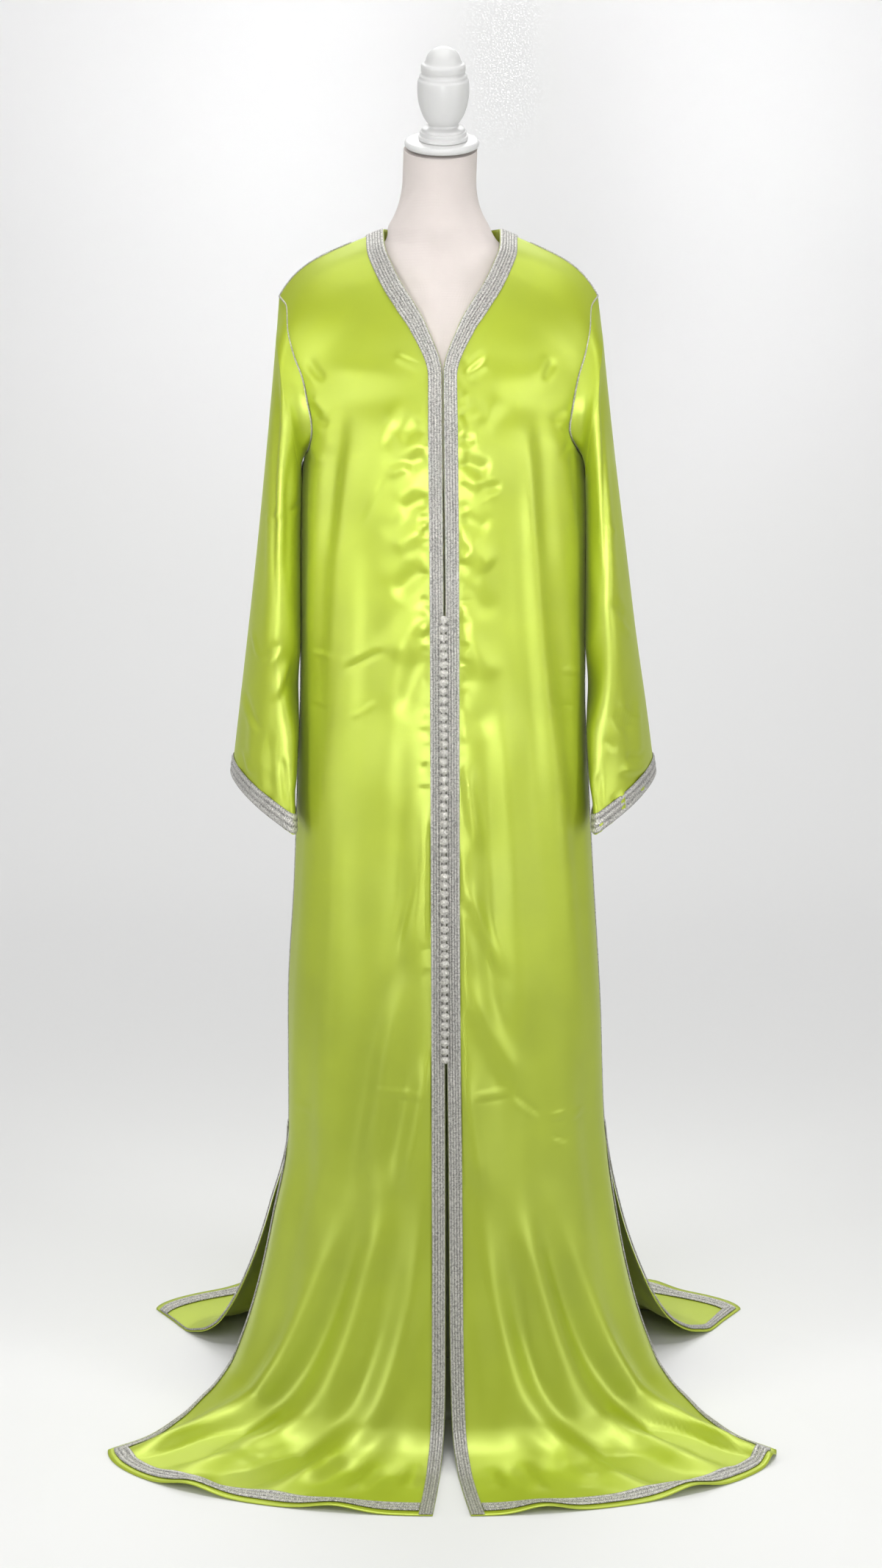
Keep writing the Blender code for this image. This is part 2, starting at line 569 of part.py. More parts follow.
def wall(name, panel, material):
    """The panel's cloth: the outer grid, the inner one a thickness in, and the edges."""
    wide, tall = len(panel.columns), len(panel.rows)
    if panel.closed:
        wide -= 1
    outer = [row[:wide] for row in panel.outer]
    inner = []
    for points, ways in zip(outer, panel.way_in):
        inner.append([p + way * CLOTH for p, way in zip(points, ways)])
        for point in inner[-1]:
            point.z = max(point.z, 0.0)
    points = [point for grid in (outer, inner) for row in grid for point in row]

    def corner(face, row, column):
        return (face * tall + row) * wide + column % wide

    faces = []
    for row in range(tall - 1):
        for column in range(wide if panel.closed else wide - 1):
            for face in (0, 1):
                a, b = corner(face, row, column), corner(face, row, column + 1)
                c, d = corner(face, row + 1, column), corner(face, row + 1, column + 1)
                faces += [(a, b, c), (b, d, c)] if face == 0 else [(a, c, b), (b, c, d)]
    for column in range(wide if panel.closed else wide - 1):
        for row in (0, tall - 1):
            a, b = corner(0, row, column), corner(0, row, column + 1)
            faces.append((a, b, corner(1, row, column + 1), corner(1, row, column)))
    if not panel.closed:
        for row in range(tall - 1):
            for column in (0, wide - 1):
                a, b = corner(0, row, column), corner(0, row + 1, column)
                faces.append((a, b, corner(1, row + 1, column), corner(1, row, column)))
    return new_object(name, mesh_from(name, points, faces), material)


def edges_of(panel, path, widths):
    """The places of a braid's two edges. The path is places on the edge of the cloth, each
    with the way in from it, and widths gives how far in the two edges are at each."""
    places = []
    for index, (across, down, inward) in enumerate(path):
        places.append([panel.inset(across, down, inward, far) for far in widths(index)])
    return places


def braid(name, panel, edges, material, closed=False, lift=BRAID_LIFT):
    """A flat braid over a panel's cloth, from the places of its two edges."""
    rings = []
    for pair in edges:
        low = [panel.at(*place, lift) for place in pair]
        high = [panel.at(*place, lift + BRAID) for place in pair]
        rings.append([low[0], low[1], high[1], high[0]])
    count = len(rings)
    points = [point for ring in rings for point in ring]
    faces = []
    for index in range(count if closed else count - 1):
        here, there = 4 * index, 4 * ((index + 1) % count)
        for corner in range(4):
            after = (corner + 1) % 4
            faces.append((here + corner, here + after, there + after, there + corner))
    if not closed:
        faces += [(3, 2, 1, 0), tuple(4 * (count - 1) + corner for corner in range(4))]
    return new_object(name, mesh_from(name, points, faces), material)


def material(name, colour, roughness, metallic=0.0):
    made = bpy.data.materials.new(name)
    made.use_nodes = True
    shader = made.node_tree.nodes["Principled BSDF"]
    shader.inputs["Base Color"].default_value = (*colour, 1.0)
    shader.inputs["Roughness"].default_value = roughness
    shader.inputs["Metallic"].default_value = metallic
    made.diffuse_color = (*colour, 1.0)
    return made


# ---------------------------------------------------------------- the pieces


def rows_of(table, armhole_end):
    """A row for each section of the armhole, and two for each section below it."""
    rows = [float(row) for row in range(armhole_end)]
    step = float(armhole_end)
    while step <= len(table) - 1:
        rows.append(step)
        step += 0.5
    return rows


def make_front(side, satin):
    columns = [column / FRONT_COLUMNS for column in range(FRONT_COLUMNS + 1)]

    def point(u, v):
        return front_point(side, u, v)

    def on_seam(u, v):
        return v == 0 or (u == 1 and v >= ARMHOLE_FRONT)

    rows = rows_of(FRONT, ARMHOLE_FRONT)
    panel = Panel(point, columns, rows, side, on_seam=on_seam)
    wall("front_left" if side == LEFT else "front_right", panel, satin)
    return panel


def make_back(satin):
    def on_seam(u, v):
        shoulder = v == 0 and abs(u) > NECK_OPENING - 1e-6
        return shoulder or (abs(u) == 1 and v >= ARMHOLE_BACK)

    beyond = (1 - NECK_OPENING) / BACK_SHOULDER_COLUMNS
    places = [NECK_OPENING * i / BACK_NECK_COLUMNS for i in range(BACK_NECK_COLUMNS)]
    places += [NECK_OPENING + beyond * i for i in range(BACK_SHOULDER_COLUMNS)] + [1.0]
    columns = [-place for place in reversed(places[1:])] + places
    rows = rows_of(BACK, ARMHOLE_BACK)
    panel = Panel(back_point, columns, rows, -1, on_seam=on_seam)
    wall("back", panel, satin)
    return panel


def make_sleeve(side, satin):
    columns = [column / ARMHOLE_ROUND for column in range(ARMHOLE_ROUND + 1)]
    rows = [0.0, 0.5] + [1 + step / 2 for step in range(2 * len(SLEEVE) - 1)]

    def point(u, v):
        return sleeve_point(side, u % 1.0, v)

    def way_in(u):
        return sleeve_start(side, u % 1.0)[1]

    panel = Panel(point, columns, rows, -side, closed=True, first_way_in=way_in)
    wall("sleeve_left" if side == LEFT else "sleeve_right", panel, satin)
    return panel


ACROSS, BACK_ACROSS, UP = (1, 0), (-1, 0), (0, -1)  # ways in from an edge


def make_front_braids(side, panel, silver):
    """The neck and centre-front band, and the braid along the hem and up the side slit."""
    name = "left" if side == LEFT else "right"
    last = panel.rows[-1]
    point_row = place_of(FRONT, "neck_point")

    def band(index):
        wider = ease((point_row - panel.rows[index]) / 2)
        return 0.0003, FRONT_BAND + (NECK_BAND - FRONT_BAND) * wider

    path = [(0.0, row, ACROSS) for row in panel.rows]
    braid(f"band_{name}", panel, edges_of(panel, path, band), silver)

    slit = place_of(FRONT, "side_slit")
    first = panel.inset(0.0, last, ACROSS, FRONT_BAND + BRAID)[0]
    columns = [first] + [u for u in panel.columns[:-1] if u > first + 0.03]
    path = panel.along(columns, last, UP, HEM_BAND) + [(1.0, last, (-1, -1))]
    path += [(1.0, v, BACK_ACROSS) for v in reversed(panel.rows) if slit <= v < last]
    braid(f"hem_braid_{name}", panel, edges_of(panel, path, lambda i: HEM_BAND), silver)


def make_back_braids(panel, silver):
    """The braid up both side slits and along the back's hem, and the back of the neck."""
    last = panel.rows[-1]
    slit = place_of(BACK, "side_slit")
    beside_slit = [v for v in panel.rows if slit <= v < last]
    path = [(-1.0, v, ACROSS) for v in beside_slit] + [(-1.0, last, (1, -1))]
    path += panel.along(panel.columns[1:-1], last, UP, HEM_BAND) + [(1.0, last, (-1, -1))]
    path += [(1.0, v, BACK_ACROSS) for v in reversed(beside_slit)]
    braid("hem_braid_back", panel, edges_of(panel, path, lambda i: HEM_BAND), silver)

    edges = []
    for step in range(-NECK_STEPS, NECK_STEPS + 1):
        part = step / NECK_STEPS
        turn = 0.5 * math.pi * part
        start = panel.at(NECK_OPENING * part, 0.0)
        away = Vector((math.sin(turn), math.cos(turn), -NECK_FALL))
        edges.append([
            panel.nearest(start + away * far, NECK_OPENING * part, 0.0)
            for far in BACK_NECK_BAND
        ])
    braid("neck_braid_back", panel, edges, silver, lift=NECK_LIFT)


def make_cuff_braid(side, panel, silver):
    path = panel.along(panel.columns, panel.rows[-1], UP, CUFF_BAND)[:-1]
    name = "cuff_braid_left" if side == LEFT else "cuff_braid_right"
    braid(name, panel, edges_of(panel, path, lambda i: CUFF_BAND), silver, closed=True)


def front_line(right, left, z):
    """The point midway between the two fronts' outer faces at a height."""
    ends = []
    for panel in (right, left):
        for above, below in zip(panel.outer, panel.outer[1:]):
            high, low = above[0], below[0]
            if low.z <= z <= high.z:
                ends.append(high.lerp(low, (high.z - z) / (high.z - low.z)))
                break
    return (ends[0] + ends[1]) / 2


def make_knots(right, left, silver):
    """The column of knot buttons: one cord, thick at each knot, over the two bands."""
    low = KNOT_TOP - (KNOTS - 1) * KNOT_PITCH
    rings = []
    for knot in range(KNOTS):
        centre = low + knot * KNOT_PITCH
        if knot == 0:
            rings.append((centre - 1.25 * KNOT_RADIUS, KNOT_CORD))
        rings.append((centre - 0.55 * KNOT_RADIUS, 0.84 * KNOT_RADIUS))
        rings.append((centre + 0.55 * KNOT_RADIUS, 0.84 * KNOT_RADIUS))
        rings.append((centre + KNOT_PITCH / 2, KNOT_CORD))
    points, faces = [], []
    clear = BRAID_LIFT + BRAID + SEAM + 0.84 * KNOT_RADIUS
    for z, radius in rings:
        middle = front_line(right, left, z) + Vector((0.0, -clear, 0.0))
        for side in range(KNOT_SIDES):
            angle = 2 * math.pi * (side + 0.5) / KNOT_SIDES
            spoke = Vector((math.cos(angle), math.sin(angle), 0.0))
            points.append(middle + spoke * radius)
    for ring in range(len(rings) - 1):
        for side in range(KNOT_SIDES):
            here, after = ring * KNOT_SIDES, (side + 1) % KNOT_SIDES
            faces.append((here + side, here + after,
                          here + KNOT_SIDES + after, here + KNOT_SIDES + side))
    faces.append(tuple(reversed(range(KNOT_SIDES))))
    faces.append(tuple(range(len(points) - KNOT_SIDES, len(points))))
    new_object("knot_buttons", mesh_from("knot_buttons", points, faces), silver)


def make_form(linen):
    """The padded body and neck: rings up to a neck that leans with its cap."""
    points, faces = [], []
    for ring in FORM:
        for side in range(FORM_SIDES):
            angle = 2 * math.pi * side / FORM_SIDES
            across, along = math.sin(angle), -math.cos(angle)
            power = 2 / ring.square
            x = math.copysign(abs(across) ** power, across) * ring.half_width + ring.middle
            depth = -ring.front if along < 0 else ring.back
            y = math.copysign(abs(along) ** power, along) * depth
            z = ring.z + y * math.tan(CAP_TILT) * ring.lean
            points.append((x, y, z))
    rings = len(FORM)
    for ring in range(rings - 1):
        for side in range(FORM_SIDES):
            here, after = ring * FORM_SIDES, (side + 1) % FORM_SIDES
            faces.append((here + side, here + after,
                          here + FORM_SIDES + after, here + FORM_SIDES + side))
    faces.append(tuple(reversed(range(FORM_SIDES))))
    faces.append(tuple(range(len(points) - FORM_SIDES, len(points))))
    new_object("dress_form", mesh_from("dress_form", points, faces), linen)


def turned(name, outline, material_used):
    """A turned piece: its outline, from top to bottom at +X, swept round by a Screw."""
    mesh = bpy.data.meshes.new(name)
    points = [(radius, 0.0, height) for height, radius in outline]
    edges = [(i, i + 1) for i in range(len(points) - 1)]
    mesh.from_pydata(points, edges, [])
    body = new_object(name, mesh, material_used, smooth=False)
    screw = body.modifiers.new("Turn", "SCREW")
    screw.steps = TURNED_STEPS
    screw.render_steps = TURNED_STEPS
    screw.use_merge_vertices = True
    screw.merge_threshold = 0.00005
    return body


def make_stand(white):
    lean = Matrix.Rotation(CAP_TILT, 4, "X")
    half = CAP_THICK / 2
    cap_outline = (
        (half, 0.0), (half, CAP_RADIUS - 0.004), (half - 0.002, CAP_RADIUS - 0.0008),
        (0.0, CAP_RADIUS), (-half + 0.002, CAP_RADIUS - 0.0008),
        (-half, CAP_RADIUS - 0.003), (-half, 0.0),
    )
    cap = turned("neck_cap", cap_outline, white)
    cap.matrix_world = Matrix.Translation(CAP_CENTRE) @ lean
    finial = turned("finial", tuple(reversed(FINIAL)), white)
    top = CAP_CENTRE + lean @ Vector((FINIAL_OFF, 0.0, half + SEAM))
    finial.matrix_world = Matrix.Translation(top) @ lean
    foot_outline = (
        (FOOT_HEIGHT, 0.0), (FOOT_HEIGHT, 0.030), (FOOT_HEIGHT - 0.006, 0.045),
        (FOOT_HEIGHT - 0.010, FOOT_RADIUS - 0.014), (FOOT_HEIGHT - 0.014, FOOT_RADIUS - 0.003),
        (FOOT_HEIGHT - 0.018, FOOT_RADIUS), (0.0, FOOT_RADIUS), (0.0, 0.0),
    )
    turned("stand_foot", foot_outline, white)
    pole_top, pole_low = FORM[0].z - SEAM, FOOT_HEIGHT + SEAM
    pole_outline = (
        (pole_top, 0.0), (pole_top, POLE_RADIUS), (pole_low, POLE_RADIUS), (pole_low, 0.0),
    )
    turned("stand_pole", pole_outline, white)


def main():
    for item in list(bpy.data.objects):
        bpy.data.objects.remove(item)
    kaftan = bpy.data.collections.new("moroccan_kaftan")
    bpy.context.scene.collection.children.link(kaftan)
    satin = material("lime_satin", (0.42, 0.58, 0.045), 0.34)
    silver = material("silver_braid", (0.55, 0.54, 0.48), 0.42, 0.35)
    linen = material("cream_linen", (0.80, 0.74, 0.69), 0.85)
    white = material("white_paint", (0.84, 0.84, 0.83), 0.35)

    right, left = make_front(RIGHT, satin), make_front(LEFT, satin)
    back = make_back(satin)
    for side in (RIGHT, LEFT):
        sleeve = make_sleeve(side, satin)
        make_cuff_braid(side, sleeve, silver)
    make_front_braids(RIGHT, right, silver)
    make_front_braids(LEFT, left, silver)
    make_back_braids(back, silver)
    make_knots(right, left, silver)
    make_form(linen)
    make_stand(white)


main()
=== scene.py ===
"""The looks of a Moroccan kaftan on a dress form: satin, braid, knots, seams and stage.

Metres, +Z up, the front of the garment towards -Y and the wearer's left at +X. The cloth
is a fine shell on the same sections and folds as its solids, with creases added. Every
braid, knot and seam is laid on the cloth that carries it.
"""

import math
from collections import namedtuple
from functools import partial

import bmesh
import bpy
import numpy as np
from bpy.props import FloatProperty, FloatVectorProperty, PointerProperty
from mathutils import Matrix, Vector


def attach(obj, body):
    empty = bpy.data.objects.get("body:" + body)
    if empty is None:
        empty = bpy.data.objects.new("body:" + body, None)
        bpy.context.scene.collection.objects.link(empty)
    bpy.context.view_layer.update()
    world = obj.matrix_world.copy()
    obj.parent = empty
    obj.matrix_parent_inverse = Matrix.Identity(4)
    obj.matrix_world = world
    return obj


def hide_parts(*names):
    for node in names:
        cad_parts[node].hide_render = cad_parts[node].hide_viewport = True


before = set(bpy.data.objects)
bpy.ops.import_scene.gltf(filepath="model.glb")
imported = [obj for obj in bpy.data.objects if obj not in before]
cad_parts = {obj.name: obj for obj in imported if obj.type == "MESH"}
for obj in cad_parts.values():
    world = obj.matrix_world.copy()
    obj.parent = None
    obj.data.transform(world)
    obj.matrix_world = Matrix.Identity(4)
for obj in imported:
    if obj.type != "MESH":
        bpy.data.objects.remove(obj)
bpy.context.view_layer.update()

bl_info = {
    "name": "Moroccan Kaftan",
    "version": (1, 0, 0),
    "blender": (4, 5, 0),
    "location": "3D View > Sidebar > Kaftan",
    "description": "Dresses a kaftan and its form in satin, braid and knots",
    "category": "Object",
}

RIGHT, LEFT = -1, 1
SIDES = ((RIGHT, "right"), (LEFT, "left"))
CLOTH = 0.002  # height of the outer face of cloth that lies on the floor
SIDE_CLEAR = 0.0010  # gap that is left where a sleeve hangs against the side
CUFF_CLEAR, CUFF_CLEAR_AT, CUFF_CLEAR_OVER = 0.003, 0.80, 0.04  # what is added near the cuff
STANDS_OFF, STANDS_OVER = 0.90, 0.06  # height at which the sleeves stand away from the side
HANG_LEAST = 0.3  # share of the way to the side that they lie over there
SLEEVE_FORWARD = 0.026  # how far a sleeve's near side lies forward over the side
SIDE_FACE = 0.9  # where that is on the front, as a share of its width
SEAM = 0.0004  # gap where two pieces meet, and half of it where cloth is sewn
NECK_OPENING = 0.27  # share of the back's half width that the neckline takes
SEED = 11  # of every random draw

# ---------------------------------------------------------------- the cut of the cloth

Section = namedtuple(
    "Section", "right_in left_in in_y in_z right_out left_out out_y out_z square"
)


def table(kind, rows):
    """Named rows of one kind, from the top down."""
    return {name: kind(*row) for name, row in rows.items()}


def made_of(kind, *rows):
    """Rows of one kind without names."""
    return tuple(kind(*row) for row in rows)


def ends(row, side):
    """How far a row's inner and outer ends lie from the middle on one side."""
    return (row.left_in, row.left_out) if side == LEFT else (row.right_in, row.right_out)


FRONT = table(Section, {
    "shoulder": (0.072, 0.065, 0.012, 1.4406, 0.1945, 0.18, 0.006, 1.364, 1.25),
    "collar": (0.0702, 0.064, -0.025, 1.4251, 0.185, 0.1715, -0.02, 1.353, 1.35),
    "collarbone": (0.0617, 0.056, -0.052, 1.4058, 0.1828, 0.169, -0.042, 1.328, 1.45),
    "yoke": (0.0495, 0.044, -0.073, 1.384, 0.175, 0.1625, -0.056, 1.3, 1.55),
    "neck": (0.0355, 0.03, -0.09, 1.364, 0.165, 0.1545, -0.065, 1.275, 1.6),
    "neck_low": (0.0205, 0.015, -0.108, 1.338, 0.159, 0.149, -0.07, 1.247, 1.7),
    "neck_point": (0.0034, -0.0018, -0.13, 1.288, 0.1541, 0.145, -0.067, 1.216, 1.8),
    "bust": (0.003, -0.0014, -0.147, 1.235, 0.16, 0.156, -0.04, 1.188, 2),
    "underarm": (0.0026, -0.001, -0.152, 1.185, 0.168, 0.1655, 0, 1.172, 2.2),
    "ribs": (0.0018, -0.0002, -0.151, 1.105, 0.172, 0.169, 0, 1.105, 2.2),
    "waist": (0.0011, 0.0005, -0.147, 1, 0.1733, 0.1698, 0, 1, 2.2),
    "high_hip": (0.0008, 0.0008, -0.146, 0.9, 0.1743, 0.1695, 0, 0.9, 2.2),
    "hip": (0.0005, 0.0011, -0.149, 0.8, 0.1785, 0.174, 0, 0.8, 2.2),
    "thigh": (0, 0.0016, -0.157, 0.65, 0.185, 0.183, 0, 0.65, 2.2),
    "front_slit": (-0.0004, 0.0026, -0.17, 0.5, 0.194, 0.193, 0, 0.5, 2.1),
    "side_slit": (-0.0008, 0.0045, -0.187, 0.335, 0.1955, 0.2005, 0, 0.335, 2),
    "knee": (-0.001, 0.0055, -0.203, 0.22, 0.2155, 0.2165, -0.01, 0.215, 2),
    "shin": (-0.001, 0.0065, -0.222, 0.12, 0.237, 0.237, -0.022, 0.12, 2),
    "ankle": (0, 0.0085, -0.246, 0.045, 0.263, 0.263, -0.036, 0.045, 2),
    "floor": (0.003, 0.012, -0.272, 0.002, 0.29, 0.29, -0.068, 0.002, 2),
    "train": (0.008, 0.02, -0.338, 0.002, 0.346, 0.344, -0.18, 0.002, 1.9),
    "hem": (0.014, 0.03, -0.404, 0.002, 0.407, 0.401, -0.236, 0.002, 1.85),
})
BACK = table(Section, {
    "shoulder": (0, 0, 0.058, 1.432, 0.1945, 0.18, 0.0068, 1.364, 1.25),
    "nape": (0, 0, 0.078, 1.405, 0.186, 0.172, 0.022, 1.351, 1.4),
    "shoulder_blade": (0, 0, 0.094, 1.365, 0.183, 0.169, 0.042, 1.325, 1.5),
    "back_yoke": (0, 0, 0.105, 1.32, 0.1765, 0.164, 0.054, 1.29, 1.6),
    "back_width": (0, 0, 0.111, 1.27, 0.17, 0.159, 0.058, 1.25, 1.75),
    "back_scye": (0, 0, 0.113, 1.23, 0.1655, 0.156, 0.05, 1.212, 1.9),
    "back_bust": (0, 0, 0.113, 1.2, 0.1655, 0.1605, 0.028, 1.186, 2),
    "underarm": (0, 0, 0.112, 1.175, 0.168, 0.1655, 0.0008, 1.172, 2.2),
    "ribs": (0, 0, 0.11, 1.105, 0.172, 0.169, 0.0008, 1.105, 2.2),
    "waist": (0, 0, 0.107, 1, 0.1733, 0.1698, 0.0008, 1, 2.2),
    "high_hip": (0, 0, 0.11, 0.9, 0.1743, 0.1695, 0.0008, 0.9, 2.2),
    "hip": (0, 0, 0.118, 0.8, 0.1785, 0.174, 0.0008, 0.8, 2.2),
    "thigh": (0, 0, 0.131, 0.65, 0.185, 0.183, 0.0008, 0.65, 2.2),
    "calf": (0, 0, 0.147, 0.5, 0.194, 0.193, 0.0008, 0.5, 2.1),
    "side_slit": (0, 0, 0.166, 0.335, 0.1955, 0.2005, 0.0008, 0.335, 2),
    "knee": (0, 0, 0.178, 0.22, 0.2215, 0.2225, 0.022, 0.215, 2),
    "shin": (0, 0, 0.187, 0.12, 0.2515, 0.2525, 0.042, 0.12, 2),
    "ankle": (0, 0, 0.196, 0.045, 0.286, 0.288, 0.063, 0.045, 2),
    "floor": (0, 0, 0.208, 0.002, 0.3225, 0.333, 0.084, 0.002, 1.9),
    "train": (0, 0, 0.256, 0.002, 0.354, 0.365, 0.135, 0.002, 1.85),
    "hem": (0, 0, 0.305, 0.002, 0.387, 0.398, 0.185, 0.002, 1.8),
})
SHOULDER_SLOPE, SHOULDER_END = 0.65, 6  # how much of its fall is even, and how late the rest
UNDERARM_EASE = 0.0012  # how far a sleeve stands out of the armhole at the underarm
CAP_FADE = 0.3  # rows below the armhole over which a sleeve's folds and creases start

Ring = namedtuple(
    "Ring", "right_out left_out out_z right_in left_in in_z middle_y half_depth turn"
)
SLEEVE = table(Ring, {
    "cap": (0.1985, 0.186, 1.32, 0.175, 0.1725, 1.15, -0.004, 0.073, 0),
    "upper_arm": (0.2065, 0.1955, 1.235, 0.1765, 0.1735, 1.085, -0.006, 0.078, 0),
    "arm": (0.2155, 0.206, 1.15, 0.1775, 0.1745, 1.015, -0.006, 0.08, 0),
    "elbow": (0.2265, 0.219, 1.055, 0.178, 0.175, 0.945, -0.006, 0.078, 0.008),
    "forearm": (0.2385, 0.232, 0.96, 0.1785, 0.1755, 0.87, -0.007, 0.073, 0.018),
    "wrist": (0.251, 0.247, 0.865, 0.1795, 0.177, 0.798, -0.01, 0.065, 0.032),
    "cuff": (0.2625, 0.2595, 0.779, 0.1785, 0.178, 0.734, -0.015, 0.056, 0.05),
})

# A fold runs between two rows. It has a place across at either end, a width, and a height
# at either end.
Fold = namedtuple("Fold", "top low top_at low_at width top_height low_height")


def folds(top, low, *rows):
    """Folds that run between the same two rows."""
    return tuple(Fold(top, low, *row) for row in rows)


FRONT_FOLDS = {
    RIGHT: (
        *folds("neck_point", "train",
            (0.58, 0.86, 0.075, 0.0045, 0.011), (0.49, 0.735, 0.07, -0.0035, -0.009),
            (0.39, 0.61, 0.07, 0.0045, 0.016)),
        *folds("waist", "train",
            (0.3, 0.475, 0.07, -0.003, -0.011), (0.21, 0.345, 0.06, 0.003, 0.015)),
        *folds("hip", "train",
            (0.14, 0.235, 0.05, -0.002, -0.009), (0.08, 0.13, 0.05, 0.002, 0.012)),
        # the swags that run out over the floor
        *folds("side_slit", "hem",
            (0.38, 0.9, 0.042, 0.006, 0.036), (0.28, 0.8, 0.036, -0.008, -0.03),
            (0.2, 0.64, 0.034, 0.005, 0.027)),
        *folds("knee", "hem", (0.17, 0.5, 0.03, -0.004, -0.02)),
        *folds("side_slit", "hem", (0.06, 0.36, 0.034, 0.004, 0.023)),
    ),
    LEFT: (
        *folds("neck_point", "train",
            (0.6, 0.9, 0.075, 0.0045, 0.01), (0.51, 0.77, 0.07, -0.0035, -0.008),
            (0.42, 0.64, 0.07, 0.0045, 0.012)),
        *folds("waist", "train",
            (0.34, 0.52, 0.07, -0.003, -0.011), (0.25, 0.4, 0.065, 0.003, 0.016)),
        *folds("hip", "train",
            (0.18, 0.3, 0.05, -0.002, -0.009), (0.1, 0.205, 0.055, 0.002, 0.014)),
        *folds("side_slit", "hem",
            (0.42, 0.92, 0.04, 0.006, 0.034), (0.33, 0.82, 0.036, -0.008, -0.03),
            (0.23, 0.68, 0.034, 0.005, 0.026)),
        *folds("knee", "hem", (0.2, 0.54, 0.03, -0.004, -0.02)),
        *folds("side_slit", "hem", (0.09, 0.42, 0.034, 0.004, 0.025)),
    ),
}
BACK_FOLDS = (
    *folds("back_width", "train", (-0.62, -0.8, 0.08, 0.004, 0.012)),
    *folds("waist", "train", (-0.5, -0.62, 0.07, -0.003, -0.01)),
    *folds("back_width", "train", (-0.36, -0.44, 0.08, 0.0045, 0.015)),
    *folds("waist", "train", (-0.22, -0.27, 0.07, -0.003, -0.01)),
    *folds("hip", "train", (-0.09, -0.1, 0.07, 0.004, 0.014)),
    *folds("waist", "train", (0.06, 0.07, 0.07, -0.003, -0.009)),
    *folds("back_width", "train", (0.19, 0.24, 0.08, 0.0045, 0.015)),
    *folds("waist", "train", (0.33, 0.42, 0.07, -0.003, -0.01)),
    *folds("back_width", "train", (0.48, 0.6, 0.08, 0.0045, 0.014)),
    *folds("waist", "train", (0.64, 0.77, 0.07, -0.003, -0.008)),
)
SLEEVE_FOLDS = {
    RIGHT: (
        *folds("cap", "forearm",
            (0.14, 0.13, 0.035, -0.006, -0.003), (0.24, 0.26, 0.045, 0.005, 0.002)),
        *folds("cap", "wrist", (0.85, 0.84, 0.045, -0.005, -0.003)),
    ),
    LEFT: (
        *folds("cap", "forearm", (0.13, 0.12, 0.035, -0.0055, -0.0025)),
        *folds("cap", "wrist",
            (0.23, 0.25, 0.045, 0.0045, 0.002), (0.86, 0.86, 0.045, -0.005, -0.003)),
    ),
}
FOLD_FADE = 0.18  # share of a fold's length over which it starts and ends
SEAM_FADE, CREASE_FADE = 0.08, 0.03  # share of the width over which both end at a side seam
BEND_REACH = 0.9  # how far from the floor line, in rows, its bend is rounded off
FOLD_WIDER, FOLD_LOWER = 1.45, 0.55  # the satin's folds against those of its solids

Ripple = namedtuple("Ripple", "at width height reach")
FRONT_RIPPLES = {
    RIGHT: made_of(Ripple, (0.52, 0.075, 0.010, 0.8), (0.19, 0.060, 0.008, 0.6)),
    LEFT: made_of(Ripple, (0.15, 0.055, 0.009, 0.6), (0.50, 0.070, 0.010, 0.8),
                  (0.87, 0.050, 0.008, 0.7)),
}
BACK_RIPPLES = made_of(Ripple, (-0.46, 0.07, 0.008, 0.8), (-0.14, 0.08, 0.009, 0.7),
                       (0.22, 0.08, 0.008, 0.8), (0.50, 0.07, 0.009, 0.7))

# ---------------------------------------------------------------- creases

# A crease runs between two points as seen from one side, a0, b0 to a1, b1. From the front
# and the back these are x and z, and from above x and y. Bow is how far its middle lies to
# one side. A negative height is a trough.
Crease = namedtuple("Crease", "view a0 b0 a1 b1 width height bow", defaults=(0.0,))
CREASE_DEEPER = 1.3  # the creases' height in the satin against their tables
CREASE_END = 0.3  # share of a crease's length over which it comes to a point
FLANK_DEPTH, FLANK_AT = 0.4, 1.9  # the trough beside a ridge: its depth and place
TURNED_TO = 2.5  # how soon a crease shows on cloth that turns towards its view
# For each view: the two axes it is measured on, the axis it looks along and which way.
VIEWS = {"front": (0, 2, 1, -1), "back": (0, 2, 1, 1), "top": (0, 1, 2, 1)}


def seen_from(view, *rows):
    """Creases as seen from one side. Their rows are in millimetres."""
    return tuple(Crease(view, *(value / 1000 for value in row)) for row in rows)


